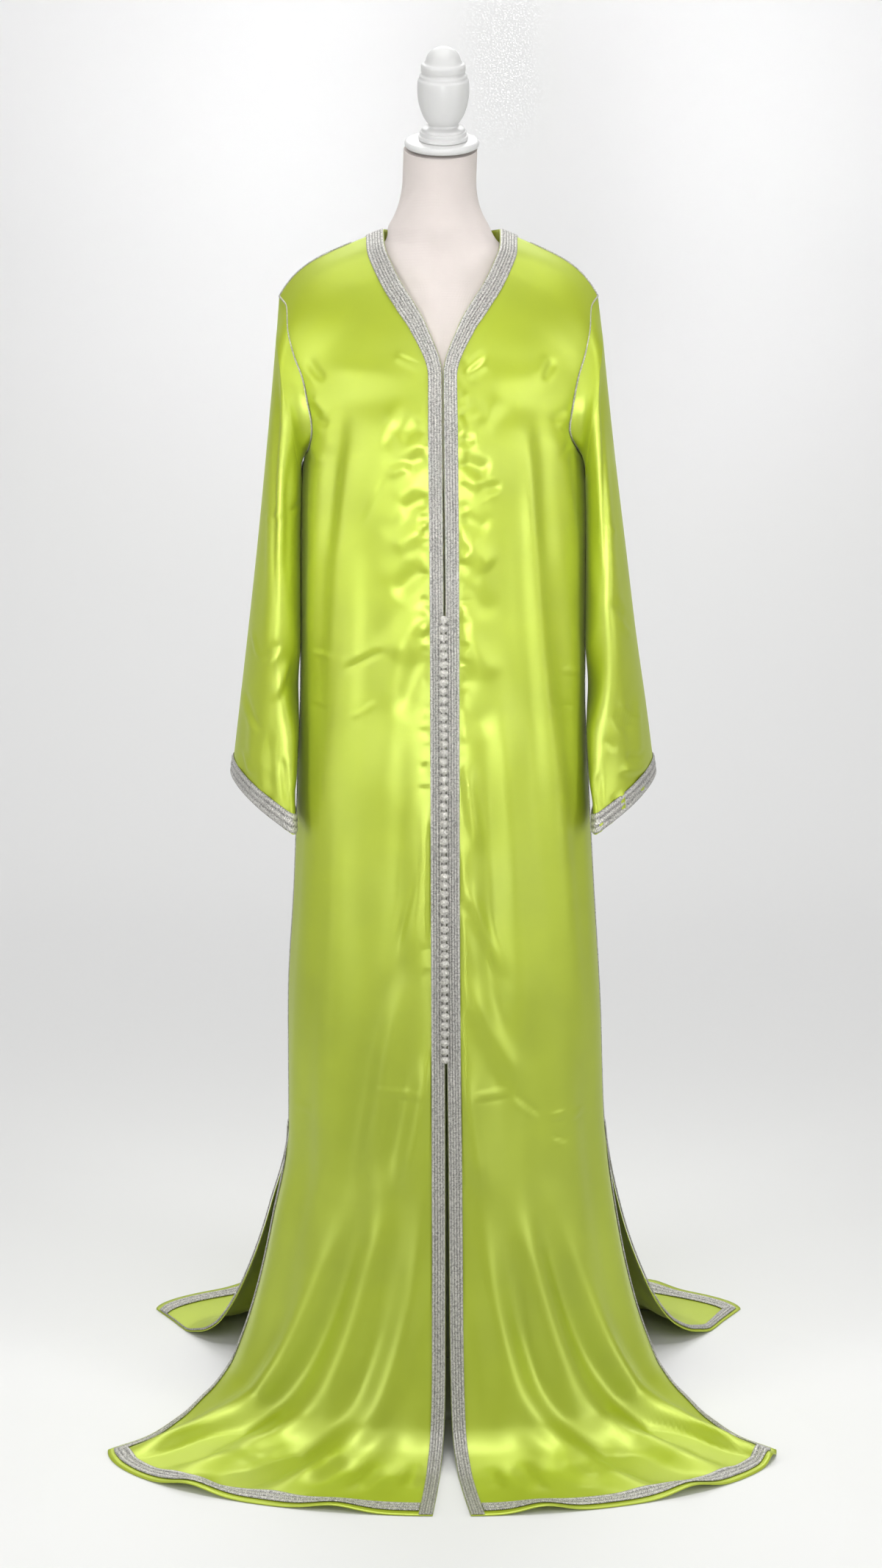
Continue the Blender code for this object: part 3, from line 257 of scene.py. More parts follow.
FRONT_CREASES = {
    RIGHT: seen_from("front",
        # the wide drapes of the skirt
        (-122, 1000, -176, 340, 13, 4.5, 4), (-60, 860, -92, 250, 30, -6.5, 4),
        (-20, 790, -46, 570, 16, 3.6, -3), (-34, 700, -60, 600, 4, -1.6),
        (-14, 500, -56, 300, 12, 4.8, -3), (-40, 600, -105, 300, 12, 2.6, 4),
        (-100, 1180, -86, 800, 20, -3.5, -4),
        # the long flutes from the bust
        (-104, 1262, -139, 860, 8, 2.2, 3), (-113, 1262, -140, 1060, 14.4, -2.6, 4),
        (-136, 1250, -160, 900, 11.2, 2.2, 2), (-72, 1030, -94, 560, 12.8, 1.6, 4),
        (-50, 930, -62, 520, 11.2, -1.4, -3),
        # where the chest turns under the neck's point
        (-150, 1278, -20, 1284, 16, 2.2, -3), (-60, 1306, -24, 1291, 5, 1.6),
        # drags towards the front band
        (-40, 1252, -68, 1196, 6.3, -1.9, 2), (-26, 1236, -52, 1212, 11.7, -2.7),
        (-18, 1210, -46, 1207, 7.2, 1.5), (-18, 1196, -48, 1180, 9, -1.9),
        (-36, 1184, -68, 1172, 5.4, 1.4), (-66, 1176, -98, 1106, 2.5, -0.9),
        (-18, 1150, -50, 1128, 9.9, -2.4), (-20, 1112, -60, 1082, 10.8, 2.2, 3),
        (-18, 1070, -58, 1026, 11.7, -2.4, 3), (-20, 1018, -62, 952, 12.6, 2.4, 4),
        (-18, 975, -50, 880, 12.6, -2.2, 4),
        # creases across the side
        (-67, 967, -118, 934, 4, -1.4, 3), (-126, 953, -158, 951, 3, 1.2),
        (-132, 889, -160, 887, 3, -1.1), (-80, 905, -110, 880, 3, 0.9),
        # puckers at the armhole
        (-160, 1300, -138, 1272, 5.6, -1.6, 2), (-156, 1256, -136, 1236, 5.6, 1.4),
        (-152, 1232, -134, 1222, 4.9, -1.3), (-156, 1200, -140, 1176, 5.6, 1.3),
        # the crease left by folding
        (-186, 384, -158, 386, 2.5, 1.3), (-92, 432, -18, 432, 2, 1),
        # where the flutes meet the floor
        (-120, 300, -215, 28, 24, -2.8, 6), (-70, 260, -115, 20, 21.6, -2.4, 4),
        (-24, 200, -45, 20, 19.2, -2, 3),
    ) + seen_from("top",
        (-330, -240, -215, -215, 13.5, 3, 4), (-255, -300, -185, -235, 13.5, 3.7, 4),
        (-175, -335, -125, -262, 12, 4.5, 3), (-110, -350, -78, -280, 12, 3.7, 2),
        (-45, -345, -30, -285, 10.5, 2.6),
    ),
    LEFT: seen_from("front",
        (116, 1000, 186, 340, 13, 4.5, 4), (56, 880, 70, 300, 28, -6, -3),
        (24, 840, 44, 720, 8, 3.4, 2), (22, 700, 80, 565, 7, 3, 3),
        (26, 580, 100, 425, 12.8, 3.4, 3), (24, 470, 46, 300, 11, 4.2, 3),
        (100, 560, 112, 240, 20, -4, 3), (70, 1180, 78, 820, 20, -3.5, 3),
        (95, 1260, 128, 760, 8, 2.2, 3), (105, 1262, 124, 1050, 14.4, -2.6, -3),
        (120, 1250, 160, 860, 10.4, 2.2, 3), (140, 1220, 160, 1080, 6, -1.6, -2),
        (66, 1040, 90, 560, 12.8, 1.6, 4), (44, 940, 58, 520, 11.2, -1.4, -3),
        (18, 1284, 146, 1276, 16, 2.2, 3), (20, 1288, 48, 1312, 4.5, -1.8),
        (24, 1282, 50, 1296, 4.5, 1.6), (17, 1236, 50, 1248, 12.6, -2.7, -2),
        (22, 1224, 70, 1262, 10.8, 1.9), (18, 1216, 34, 1208, 7.2, -1.6),
        (18, 1190, 52, 1176, 10.8, -3, 2), (18, 1184, 46, 1160, 7.2, 1.9, 3),
        (44, 1156, 66, 1160, 4.7, -1.4), (18, 1128, 52, 1108, 10.8, -2.4, 2),
        (20, 1096, 60, 1066, 10.8, 2.2, 3), (18, 1054, 60, 1004, 11.7, -2.4, 3),
        (20, 1000, 62, 930, 12.6, 2.4, 4), (18, 950, 50, 860, 12.6, -2.2, 4),
        (120, 904, 156, 883, 3.5, -1.4, 2), (138, 935, 158, 925, 3, 1),
        (132, 1180, 146, 1205, 3.5, -0.8), (128, 1300, 112, 1272, 5.6, -1.4),
        (148, 1236, 130, 1218, 5.6, 1.3), (31, 432, 84, 431, 2, 1.3),
        (84, 431, 119, 395, 3, -1.6), (116, 396, 186, 381, 2, 1.4),
        (130, 372, 150, 356, 3.5, -1.2), (120, 300, 205, 28, 24, -2.8, -6),
        (75, 260, 118, 20, 21.6, -2.4, -4), (30, 200, 48, 20, 19.2, -2, -3),
    ) + seen_from("top",
        (330, -245, 225, -215, 13.5, 3, -4), (262, -300, 190, -238, 13.5, 3.7, -4),
        (180, -335, 132, -262, 12, 4.1, -3), (118, -352, 88, -280, 12, 3.7, -2),
        (64, -345, 52, -290, 10.5, 2.3),
    ),
}
BACK_CREASES = seen_from("back",
    (-60, 1330, -100, 900, 8, 2.2, 4), (48, 1330, 70, 860, 8, -2, 4),
    (100, 1290, 128, 820, 7, 2.2, 3), (-118, 1270, -140, 950, 7, -2, 2),
    (-145, 1260, -112, 1215, 5, -1.8, 2), (140, 1262, 106, 1222, 5, -1.8, 2),
    (-60, 1020, -12, 992, 4, -1.4, 3), (30, 1000, 86, 972, 4, 1.3, 3),
    (-110, 910, -60, 930, 3.5, 1.2), (78, 890, 132, 905, 3.5, -1.2), (-150, 432, 10, 430, 2, 1.1),
    (30, 425, 160, 432, 2, 1.1), (-30, 760, -46, 300, 8, -2, 3), (22, 700, 30, 260, 8, 2, 3),
    (-110, 300, -180, 30, 15, -2.4, -5), (110, 300, 185, 30, 15, -2.4, 5),
) + seen_from("top",
    (-300, 170, -215, 150, 13.5, 2.3, 3), (310, 170, 225, 150, 13.5, 2.3, 3),
    (-150, 270, -110, 215, 12, 3.4), (30, 285, 22, 222, 12, 3), (160, 268, 120, 212, 12, 3.4),
)
SLEEVE_CREASES = {
    RIGHT: seen_from("front",
        (-196, 1330, -200, 1000, 4.5, -3, 2), (-186, 1270, -176, 1100, 6, 2.4, -3),
        (-178, 1215, -186, 1020, 6, -2.2, 2), (-218, 940, -196, 968, 4, -1.8, 2),
        (-206, 890, -185, 948, 4.5, 1.8, 2), (-232, 974, -221, 940, 3, 1.4),
        (-244, 902, -220, 853, 4.5, -2, 3), (-214, 1105, -190, 1123, 3.5, 1.3),
        (-181, 1116, -170, 1131, 3, -1.2), (-228, 880, -232, 790, 6, 1.8, 2),
        (-206, 860, -210, 772, 6, -1.6, 2), (-192, 830, -187, 765, 4, -2, 2),
        (-244, 825, -232, 796, 4, 1.8),
    ) + seen_from("back",
        (-200, 1320, -206, 1020, 6, -2.6, 3), (-190, 1000, -224, 955, 4.5, -1.8, 2),
        (-194, 930, -232, 890, 4.5, 1.8, 2), (-222, 880, -226, 790, 6, 1.8, 2),
    ),
    LEFT: seen_from("front",
        (184, 1330, 192, 1000, 4.5, -3, 2), (176, 1270, 172, 1100, 6, 2.4, 3),
        (175, 1200, 186, 1000, 6, -2.2, 2), (204, 894, 240, 858, 4, 2, 2),
        (198, 880, 226, 848, 4, -1.8, 2), (188, 848, 206, 832, 3, -1.4),
        (208, 812, 250, 800, 5, 2.2, 3), (216, 826, 244, 816, 4, -1.6, 2),
        (184, 812, 190, 752, 3.5, -2.2, 2), (215, 990, 192, 1016, 4, -1.6, 2),
        (226, 960, 206, 990, 3.5, 1.4), (205, 1090, 184, 1110, 3.5, 1.3),
        (232, 900, 238, 800, 6, 1.4, 2),
    ) + seen_from("back",
        (188, 1320, 198, 1020, 6, -2.6, 3), (184, 1010, 214, 965, 4.5, -1.8, 2),
        (190, 920, 230, 880, 4.5, 1.8, 2), (218, 880, 224, 790, 6, 1.8, 2),
    ),
}
FORM_CREASES = seen_from("front",
    (-56, 1466, -30, 1502, 3.5, 0.9, -3), (30, 1455, 60, 1432, 4.5, 0.8, 3),
) + seen_from("back",
    (-30, 1500, 10, 1478, 4, 0.7),
)

# Small puckers along a seam: how many, and the least and most length, width and height.
Puckers = namedtuple("Puckers", "count least_long most_long width least_high most_high")
BAND_PUCKERS = Puckers(66, 0.005, 0.016, 0.0032, 0.0006, 0.0014)
BAND_PUCKER_TOP, BAND_PUCKER_LOW, BAND_PUCKER_SHIFT = 1.300, 0.560, 0.004
BAND_PUCKER_LEAST, BAND_PUCKER_BUST = 0.45, 0.78  # least strength, and the height it grows from
PUCKER_IN = 0.006  # how far under its braid a pucker starts
FINE_ABOVE = 0.80  # height above which the fronts' rows are closer
CUFF_PUCKERS = Puckers(26, 0.010, 0.028, 0.0030, 0.0006, 0.0016)
CUFF_SCATTER, CUFF_FRONT = 37, 0.6  # what scatters them over front and back, and the front's share

# ---------------------------------------------------------------- braid, knots and seams

BRAID_LIFT = 0.0009  # how far a braid's ground stands off the cloth
FRONT_BAND, NECK_BAND = 0.016, 0.0215  # widths down the front and round the neck
BAND_OFF, BAND_HOLD = 0.0003, 0.005  # its place in from the edge, and how far it flattens
HEM_BAND = (0.0045, 0.0140)  # where these start and end, from the edge of the cloth
HEM_GAP, CORNER_GAP = 0.0016, 0.001  # what the hem's braid leaves at the band and at a corner
CUFF_BAND = (0.0005, 0.0125)
BACK_NECK_BAND = (0.0005, 0.0215)
NECK_FALL = 0.45  # how steeply the cloth falls away behind the neck
NECK_ENDS, BAND_STARTS = 0.5, 0.52  # rows above the neck's point where one braid takes over
PLAIT_PITCH = 0.0042  # length of one turn of a braid's cords
BRAID_STEP = 0.0014  # distance between its cross-sections
BRAID_BASE = 0.0006  # thickness of the woven ground that the cords lie on
CORD_MEASURE = 0.0031  # width of one cord in the braids' own measure

# The cords across a braid: where one starts and ends, as shares of the width from its inner
# edge, how high it stands, and which way its plait leans.
Cord = namedtuple("Cord", "start end height lean")
BAND_CORDS = made_of(Cord,
    (0.02, 0.16, 0.0010, 1), (0.18, 0.37, 0.0011, -1), (0.37, 0.56, 0.0011, 1),
    (0.60, 0.76, 0.0010, -1), (0.79, 0.98, 0.0012, 1),
)
NECK_CORDS = made_of(Cord,
    (0.01, 0.17, 0.0007, 1), (0.20, 0.34, 0.0011, -1), (0.36, 0.50, 0.0011, 1),
    (0.50, 0.64, 0.0011, -1), (0.67, 0.81, 0.0010, 1), (0.84, 0.99, 0.0012, -1),
)
EDGE_CORDS = made_of(Cord,
    (0.02, 0.30, 0.0010, 1), (0.35, 0.65, 0.0011, -1), (0.70, 0.98, 0.0010, 1),
)

KNOTS = 51
KNOT_TOP, KNOT_PITCH, KNOT_RADIUS = 1.005, 0.01055, 0.0040
KNOT_CORD = 0.0012  # radius of its cord
KNOT_WIDE, KNOT_HIGH = 0.0054, 0.0046  # half the width and height of one knot
KNOT_STEM = 0.0016  # radius of the cord that runs behind them
KNOT_OFF = -0.0010  # how far the knots stand to the wearer's right of the middle
KNOT_SHIFT, KNOT_BACK = 0.0003, 0.0011  # how unevenly they stand, and how far off the bands
KNOT_SPIN_Y, KNOT_SPIN_Z, KNOT_WAVER = 0.35, 0.3, 0.06  # how unevenly they are tied
KNOT_CORE = 0.68  # radius of a knot's core against the knot's
KNOT_TURNS = ((0, 0), (65, 0), (-65, 0), (90, 60), (90, -60))  # tilt and turn of each round
LOOP_LONG, LOOP_CORD = 0.0040, 0.0005  # its loop
LOOP_SINK, LOOP_SAG, LOOP_SHIFT = 0.0003, 0.0010, 0.0015  # how far it sinks, sags and strays

RANDA_RADIUS, RANDA_PITCH, RANDA_STEP = 0.0010, 0.0032, 0.0011  # the cord over the seams
RANDA_SIDES, RANDA_TWIST, RANDA_LIFT = 7, 0.3, 0.7  # its sides, twist and share that stands out
RANDA_BEHIND = 0.0012  # how far behind the fronts' edges it lies, besides the seam
RANDA_SUNK, RANDA_FROM = 0.6, 0.20  # how much lower at the underarm, and its start at the neck

# ---------------------------------------------------------------- form and stand

FormRing = namedtuple("FormRing", "z half_width middle front back square lean")
FORM = table(FormRing, {
    "underside": (0.742, 0.09, 0, -0.055, 0.045, 2, 0),
    "lower_edge": (0.749, 0.125, 0, -0.086, 0.07, 2, 0),
    "seat": (0.775, 0.146, 0, -0.108, 0.086, 2.1, 0),
    "hip": (0.85, 0.156, 0, -0.122, 0.096, 2.2, 0),
    "high_hip": (0.93, 0.15, 0, -0.12, 0.092, 2.2, 0),
    "waist_low": (1, 0.134, 0, -0.11, 0.084, 2.1, 0),
    "waist": (1.06, 0.127, 0, -0.106, 0.08, 2.1, 0),
    "ribs": (1.12, 0.133, 0, -0.118, 0.085, 2.1, 0),
    "under_bust": (1.18, 0.143, 0, -0.136, 0.093, 2.1, 0),
    "bust": (1.225, 0.146, 0, -0.138, 0.099, 2, 0),
    "over_bust": (1.27, 0.142, 0, -0.126, 0.1, 1.9, 0),
    "chest": (1.31, 0.145, 0, -0.109, 0.095, 1.8, 0),
    "high_chest": (1.338, 0.151, -0.001, -0.091, 0.086, 1.7, 0),
    "shoulder": (1.36, 0.153, -0.002, -0.072, 0.074, 1.6, 0),
    "shoulder_top": (1.378, 0.144, -0.003, -0.057, 0.064, 1.6, 0),
    "slope": (1.394, 0.123, -0.004, -0.051, 0.056, 1.6, 0),
    "neck_root": (1.412, 0.09, -0.004, -0.0465, 0.051, 1.75, 0),
    "neck_base": (1.425, 0.069, -0.004, -0.045, 0.048, 1.9, 0),
    "neck_low": (1.434, 0.0625, -0.005, -0.0445, 0.0465, 2, 0),
    "neck_side": (1.4455, 0.059, -0.007, -0.0445, 0.045, 2, 0),
    "neck": (1.46, 0.0512, -0.007, -0.044, 0.044, 2, 0),
    "neck_high": (1.477, 0.0456, -0.0068, -0.044, 0.043, 2, 0.1),
    "neck_stem": (1.5, 0.043, -0.0062, -0.044, 0.04, 2, 0.4),
    "neck_top": (1.534, 0.043, -0.005, -0.0455, 0.0375, 2, 1),
})
CAP_TILT = math.radians(13.5)
CAP_CENTRE = Vector((-0.0034, -0.004, 1.5405))
CAP_RADIUS, CAP_THICK = 0.0435, 0.0085
Turning = namedtuple("Turning", "height radius")
FINIAL = (
    (0, 0), (0, 0.0278), (0.0012, 0.0288), (0.004, 0.0288),
    (0.0055, 0.0268), (0.0075, 0.0272), (0.0095, 0.0268), (0.0105, 0.0254),
    (0.013, 0.025), (0.0145, 0.0225), (0.016, 0.0182), (0.018, 0.0172),
    (0.0215, 0.0198), (0.0272, 0.0233), (0.0342, 0.0261), (0.0413, 0.0282),
    (0.0484, 0.0295), (0.056, 0.03), (0.0625, 0.03), (0.069, 0.0293),
    (0.0715, 0.0279), (0.0745, 0.0275), (0.0765, 0.0252), (0.0785, 0.025),
    (0.08, 0.0258), (0.085, 0.0257), (0.0878, 0.0244), (0.0895, 0.0215),
    (0.0978, 0.0182), (0.1034, 0.0127), (0.1066, 0.006), (0.1077, 0),
)
FINIAL_OFF = 0.0016  # how far the finial stands to the wearer's left of the cap's middle
POLE_RADIUS = 0.0175
FOOT_RADIUS, FOOT_HEIGHT = 0.150, 0.022
FORM_ROWS, FORM_SIDES, TURNED_SIDES = 150, 104, 96  # how finely each is made
FORM_ROUND = 0.12  # radius of the form, for the measure of its weave

# ---------------------------------------------------------------- cut and stage

# The flat size of each piece as it is cut: width, length and area.
Cut = namedtuple("Cut", "width length area")

WORLD_LIGHT, WORLD_PALER = 0.29, 0.5  # even light, and what the camera sees beyond it
CAMERA_SIDE = -0.0044  # how far the camera stands to the wearer's right of the middle
MIDDLE = (0.0, 0.0, 1.05)
LIGHTS = {  # place, target, size, power in watts, and spread in degrees
    "left softbox": ((-2.5, -1.7, 1.45), MIDDLE, (0.9, 2.2), 14.5, 120),
    "right softbox": ((2.5, -1.7, 1.45), MIDDLE, (0.9, 2.2), 16, 120),
    "front softbox": ((0, -2.3, 2.5), (0, 0, 1.12), (2.2, 0.8), 4.8, 100),
    "low softbox": ((-0.25, -4.2, 0.75), (-0.03, -0.1, 1.14), (2, 0.8), 3.2, 16),
    "top softbox": ((0, -0.6, 3), (0, -0.35, 0), (1.6, 0.6), 3.8, 50),
    "back softbox": ((0, 2.4, 3.3), (0, 0, 0.9), (2.4, 0.8), 6, 60),
    "backdrop light": ((0, 0.8, 4.2), (0, 3, 1), (4, 1), 62, 130),
}


# ---------------------------------------------------------------- curves through tables


def ease(value):
    """0 to 1 with level ends."""
    value = np.clip(value, 0.0, 1.0)
    return value * value * (3 - 2 * value)


def between(table, places):
    """The rows of a table at these places, on smooth curves that never pass beyond them."""
    named = list(table.values())
    rows = np.array(named)
    rise = np.diff(rows, axis=0)
    most = 2 * np.minimum(abs(rise[1:]), abs(rise[:-1]))
    middle = np.sign(rise[1:]) * np.minimum(abs(rise[1:] + rise[:-1]) / 2, most)
    middle[rise[1:] * rise[:-1] <= 0] = 0
    slope = np.vstack([rise[:1], middle, rise[-1:]])
    places = np.asarray(places, float)
    index = np.clip(places.astype(int), 0, len(rows) - 2)
    part = np.clip(places - index, 0, 1)[..., None]
    start, end = rows[index], rows[index + 1]
    bend = 3 * (end - start) - 2 * slope[index] - slope[index + 1]
    twist = 2 * (start - end) + slope[index] + slope[index + 1]
    values = start + part * (slope[index] + part * (bend + part * twist))
    return type(named[0])(*np.moveaxis(values, -1, 0))


def place_of(table, name):
    return float(list(table).index(name))


def stacked(*parts):
    """The parts of points side by side, such as x, y and z."""
    return np.stack(np.broadcast_arrays(*parts), axis=-1)


def unit(vectors):
    return vectors / np.maximum(np.linalg.norm(vectors, axis=-1, keepdims=True), 1e-12)


def facing(surface, across, down, low, high, last):
    """The direction that points out of a surface at its places."""
    step = 1e-4
    left, right = np.maximum(across - step, low), np.minimum(across + step, high)
    above, below = np.maximum(down - step, 0.0), np.minimum(down + step, last)
    sideways = surface(right, down) - surface(left, down)
    downwards = surface(across, below) - surface(across, above)
    return unit(np.cross(downwards, sideways))


def fold_height(folds, table, across, down):
    height = np.zeros(np.broadcast(across, down).shape)
    for fold in folds:
        top, low = place_of(table, fold.top), place_of(table, fold.low)
        part = (down - top) / (low - top)
        middle = fold.top_at + (fold.low_at - fold.top_at) * part
        off = (across - middle) / (fold.width * FOLD_WIDER)
        fade = ease(part / FOLD_FADE) * ease((1 - part) / FOLD_FADE)
        size = fold.top_height + (fold.low_height - fold.top_height) * part
        height += FOLD_LOWER * size * fade * np.exp(-off * off)
    return height


def ripple_height(ripples, table, across, down):
    height = np.zeros(np.broadcast(across, down).shape)
    for ripple in ripples:
        off = (across - ripple.at) / ripple.width
        inward = (len(table) - 1 - down) / ripple.reach
        height += ripple.height * np.exp(-off * off) * ease(1 - inward)
    return height


def crease_height(creases, points, out):
    """How far the creases move the cloth out. Each is a soft ridge with a shallower trough
    along one flank, or the reverse, and comes to a point at both ends."""
    height = np.zeros(points.shape[:-1])
    for crease in creases:
        first, second, looked_along, way = VIEWS[crease.view]
        along_a, along_b = crease.a1 - crease.a0, crease.b1 - crease.b0
        length = math.hypot(along_a, along_b)
        a, b = points[..., first] - crease.a0, points[..., second] - crease.b0
        part = (a * along_a + b * along_b) / length**2
        off = (a * along_b - b * along_a) / length - crease.bow * 4 * part * (1 - part)
        off = off / crease.width
        fade = ease(part / CREASE_END) * ease((1 - part) / CREASE_END)
        towards = np.clip(out[..., looked_along] * way * TURNED_TO, 0, 1)
        shape = np.exp(-off * off) - FLANK_DEPTH * np.exp(-((off - FLANK_AT) ** 2))
        height += CREASE_DEEPER * crease.height * shape * fade * towards
    return height


# ---------------------------------------------------------------- the cloth's surfaces


def section_point(section, side, across):
    left = np.asarray(side) == LEFT
    inner = np.where(left, section.left_in, section.right_in)
    outer = np.where(left, section.left_out, section.right_out)
    reach = np.sin(0.5 * math.pi * across)
    round_the_side = 1 - np.maximum(1 - reach**section.square, 0.0) ** (1 / section.square)
    fall = SHOULDER_SLOPE * reach + (1 - SHOULDER_SLOPE) * reach**SHOULDER_END
    return stacked(
        side * (inner + (outer - inner) * reach),
        section.in_y + (section.out_y - section.in_y) * round_the_side,
        section.in_z + (section.out_z - section.in_z) * fall,
    )


def rounded(surface, down, bend):
    """Points of a surface with its bend onto the floor rounded off."""
    reach = BEND_REACH * ease(1 - abs(down - bend) / 2)
    return (surface(down - reach) + 2 * surface(down) + surface(down + reach)) / 4


def front_plain(side, across, down):
    return rounded(
        lambda v: section_point(between(FRONT, v), side, across), down, place_of(FRONT, "floor")
    )


def shoulder_line(side, part):
    row = FRONT["shoulder"]
    return section_point(row, side, part) + np.array([0.0, 2 * SEAM, 0.0])


def back_plain(across, down):
    side = np.where(across > 0, LEFT, RIGHT)
    across = abs(across)
    point = rounded(
        lambda v: section_point(between(BACK, v), side, across), down, place_of(BACK, "floor")
    )
    nape = BACK["shoulder"]
    neck_point = shoulder_line(side, np.zeros_like(across))
    turn = 0.5 * math.pi * np.minimum(across / NECK_OPENING, 1)
    neckline = stacked(
        neck_point[..., 0] * np.sin(turn),
        neck_point[..., 1] + (nape.in_y - neck_point[..., 1]) * np.cos(turn),
        neck_point[..., 2] + (nape.in_z - neck_point[..., 2]) * np.cos(turn) ** 2,
    )
    part = np.maximum((across - NECK_OPENING) / (1 - NECK_OPENING), 0)
    top = np.where((across > NECK_OPENING)[..., None], shoulder_line(side, part), neckline)
    upper = section_point(nape, side, across)
    return point + (top - upper) * (1 - ease(down / 2.0))[..., None]


def finished(plain, out, height, lift):
    """The outer face of folded cloth, none of it lower than cloth on the floor."""
    points = plain + out * height[..., None]
    points[..., 2] = np.maximum(points[..., 2] + lift, CLOTH)
    return points


def front_cloth(side, across, down, creases=()):
    """Points of a front's outer face and the way out of it."""
    across, down = np.broadcast_arrays(np.asarray(across, float), np.asarray(down, float))

    plain = partial(front_plain, side)
    points = plain(across, down)
    out = facing(plain, across, down, 0.0, 1.0, len(FRONT) - 1) * side
    section = between(FRONT, down)
    inner, _ = ends(section, side)
    # the stitches of the band hold the cloth under it flat
    free = ease((side * points[..., 0] - inner - FRONT_BAND - BAND_OFF) / BAND_HOLD)
    free = np.maximum(free, ease((place_of(FRONT, "neck_point") - down) / 0.5))
    height = fold_height(FRONT_FOLDS[side], FRONT, across, down) * ease((1 - across) / SEAM_FADE)
    height += crease_height(creases, points, out) * ease((1 - across) / CREASE_FADE) * free
    lift = ripple_height(FRONT_RIPPLES[side], FRONT, across, down)
    return finished(points, out, height, lift), out


def back_cloth(across, down, creases=()):
    across, down = np.broadcast_arrays(np.asarray(across, float), np.asarray(down, float))
    points = back_plain(across, down)
    out = -facing(back_plain, across, down, -1.0, 1.0, len(BACK) - 1)
    inward = 1 - abs(across)
    height = fold_height(BACK_FOLDS, BACK, across, down) * ease(inward / SEAM_FADE)
    height += crease_height(creases, points, out) * ease(inward / CREASE_FADE)
    return finished(points, out, height, ripple_height(BACK_RIPPLES, BACK, across, down)), out


ARMHOLE_FRONT = place_of(FRONT, "underarm")
ARMHOLE_BACK = place_of(BACK, "underarm")
ARMHOLE_ROUND = ARMHOLE_FRONT + ARMHOLE_BACK


def armhole(side, around):
    """Points of the armhole, and the way out of the cloth there, from the shoulder over the
    front and up the back again."""
    step = around * ARMHOLE_ROUND
    front_row = np.minimum(step, ARMHOLE_FRONT)
    back_row = np.clip(ARMHOLE_ROUND - step, 0, ARMHOLE_BACK)
    edge = np.ones_like(around)
    front = partial(front_plain, side)
    front_out = facing(front, edge, front_row, 0.0, 1.0, len(FRONT) - 1) * side
    back_out = -facing(back_plain, edge * side, back_row, -1.0, 1.0, len(BACK) - 1)
    on_front = (step <= ARMHOLE_FRONT)[..., None]
    points = np.where(on_front, front(edge, front_row), back_plain(edge * side, back_row))
    return points, np.where(on_front, front_out, back_out)


def underarm(around):
    """0 at the shoulder and 1 at the underarm, for places round an armhole."""
    return (((1 - np.cos(2 * math.pi * around)) / 2) ** 1.5)[..., None]


def sleeve_start(side, around):
    """The edge of a sleeve in its armhole, and the way through the cloth there."""
    step = 1e-3
    around = np.mod(around, 1.0)
    points, out = armhole(side, around)
    ahead, _ = armhole(side, np.mod(around + step, 1.0))
    behind, _ = armhole(side, np.mod(around - step, 1.0))
    away = unit(np.cross(ahead - behind, out)) * -side
    under = underarm(around)
    through = unit(away * under - out * (1 - under))
    return points + away * 2 * SEAM + out * (UNDERARM_EASE * under), through


def hang_close(side, down):
    """How far a sleeve's near side lies over towards the body at its places, and whether it
    lies against it."""
    ring = between(SLEEVE, np.maximum(down - 1, 0.0))
    inner, _ = ends(ring, side)
    rows = np.linspace(place_of(FRONT, "underarm"), place_of(FRONT, "thigh"), 60)
    edge = front_plain(side, np.full_like(rows, SIDE_FACE), rows)
    body = np.interp(-ring.in_z, -edge[:, 2], abs(edge[:, 0]))
    clear = SIDE_CLEAR + CUFF_CLEAR * ease((CUFF_CLEAR_AT - ring.in_z) / CUFF_CLEAR_OVER)
    stands_off = ease(1 - abs(ring.in_z - STANDS_OFF) / STANDS_OVER)
    hangs = ease(down) * (1 - stands_off)
    share = HANG_LEAST * ease(down) + (1 - HANG_LEAST) * hangs
    return np.maximum(inner - body - clear, 0) * share, hangs


def sleeve_plain(side, around, down):
    around, down = np.broadcast_arrays(np.mod(around, 1.0), down)
    angle = 2 * math.pi * around
    ring = between(SLEEVE, np.maximum(down - 1, 0.0))
    inner, outer = ends(ring, side)
    closer, hangs = hang_close(side, down)
    inner = inner - closer
    spread = np.cos(angle)
    forward = SLEEVE_FORWARD * hangs * np.maximum(-spread, 0) ** 3
    points = stacked(
        side * ((outer + inner) / 2 + (outer - inner) / 2 * spread),
        ring.middle_y - ring.half_depth * np.sin(angle) + ring.turn * spread - forward,
        (ring.out_z + ring.in_z) / 2 + (ring.out_z - ring.in_z) / 2 * spread,
    )
    start, _ = sleeve_start(side, around)
    part = np.clip(down, 0, 1)[..., None]
    bulge = 2 * UNDERARM_EASE * np.maximum(-spread, 0) * np.sin(math.pi * part[..., 0])
    joined = start + (points - start) * part
    joined[..., 0] += side * bulge
    return np.where((down < 1)[..., None], joined, points)


def sleeve_cloth(side, around, down, creases=()):
    around, down = np.broadcast_arrays(np.asarray(around, float), np.asarray(down, float))
    plain = partial(sleeve_plain, side)
    points = plain(around, down)
    out = facing(plain, around, down, -math.inf, math.inf, float(len(SLEEVE))) * -side
    height = fold_height(SLEEVE_FOLDS[side], SLEEVE, around, down - 1)
    height += crease_height(creases, points, out)
    height *= ease(down / CAP_FADE)
    return points + out * height[..., None], out


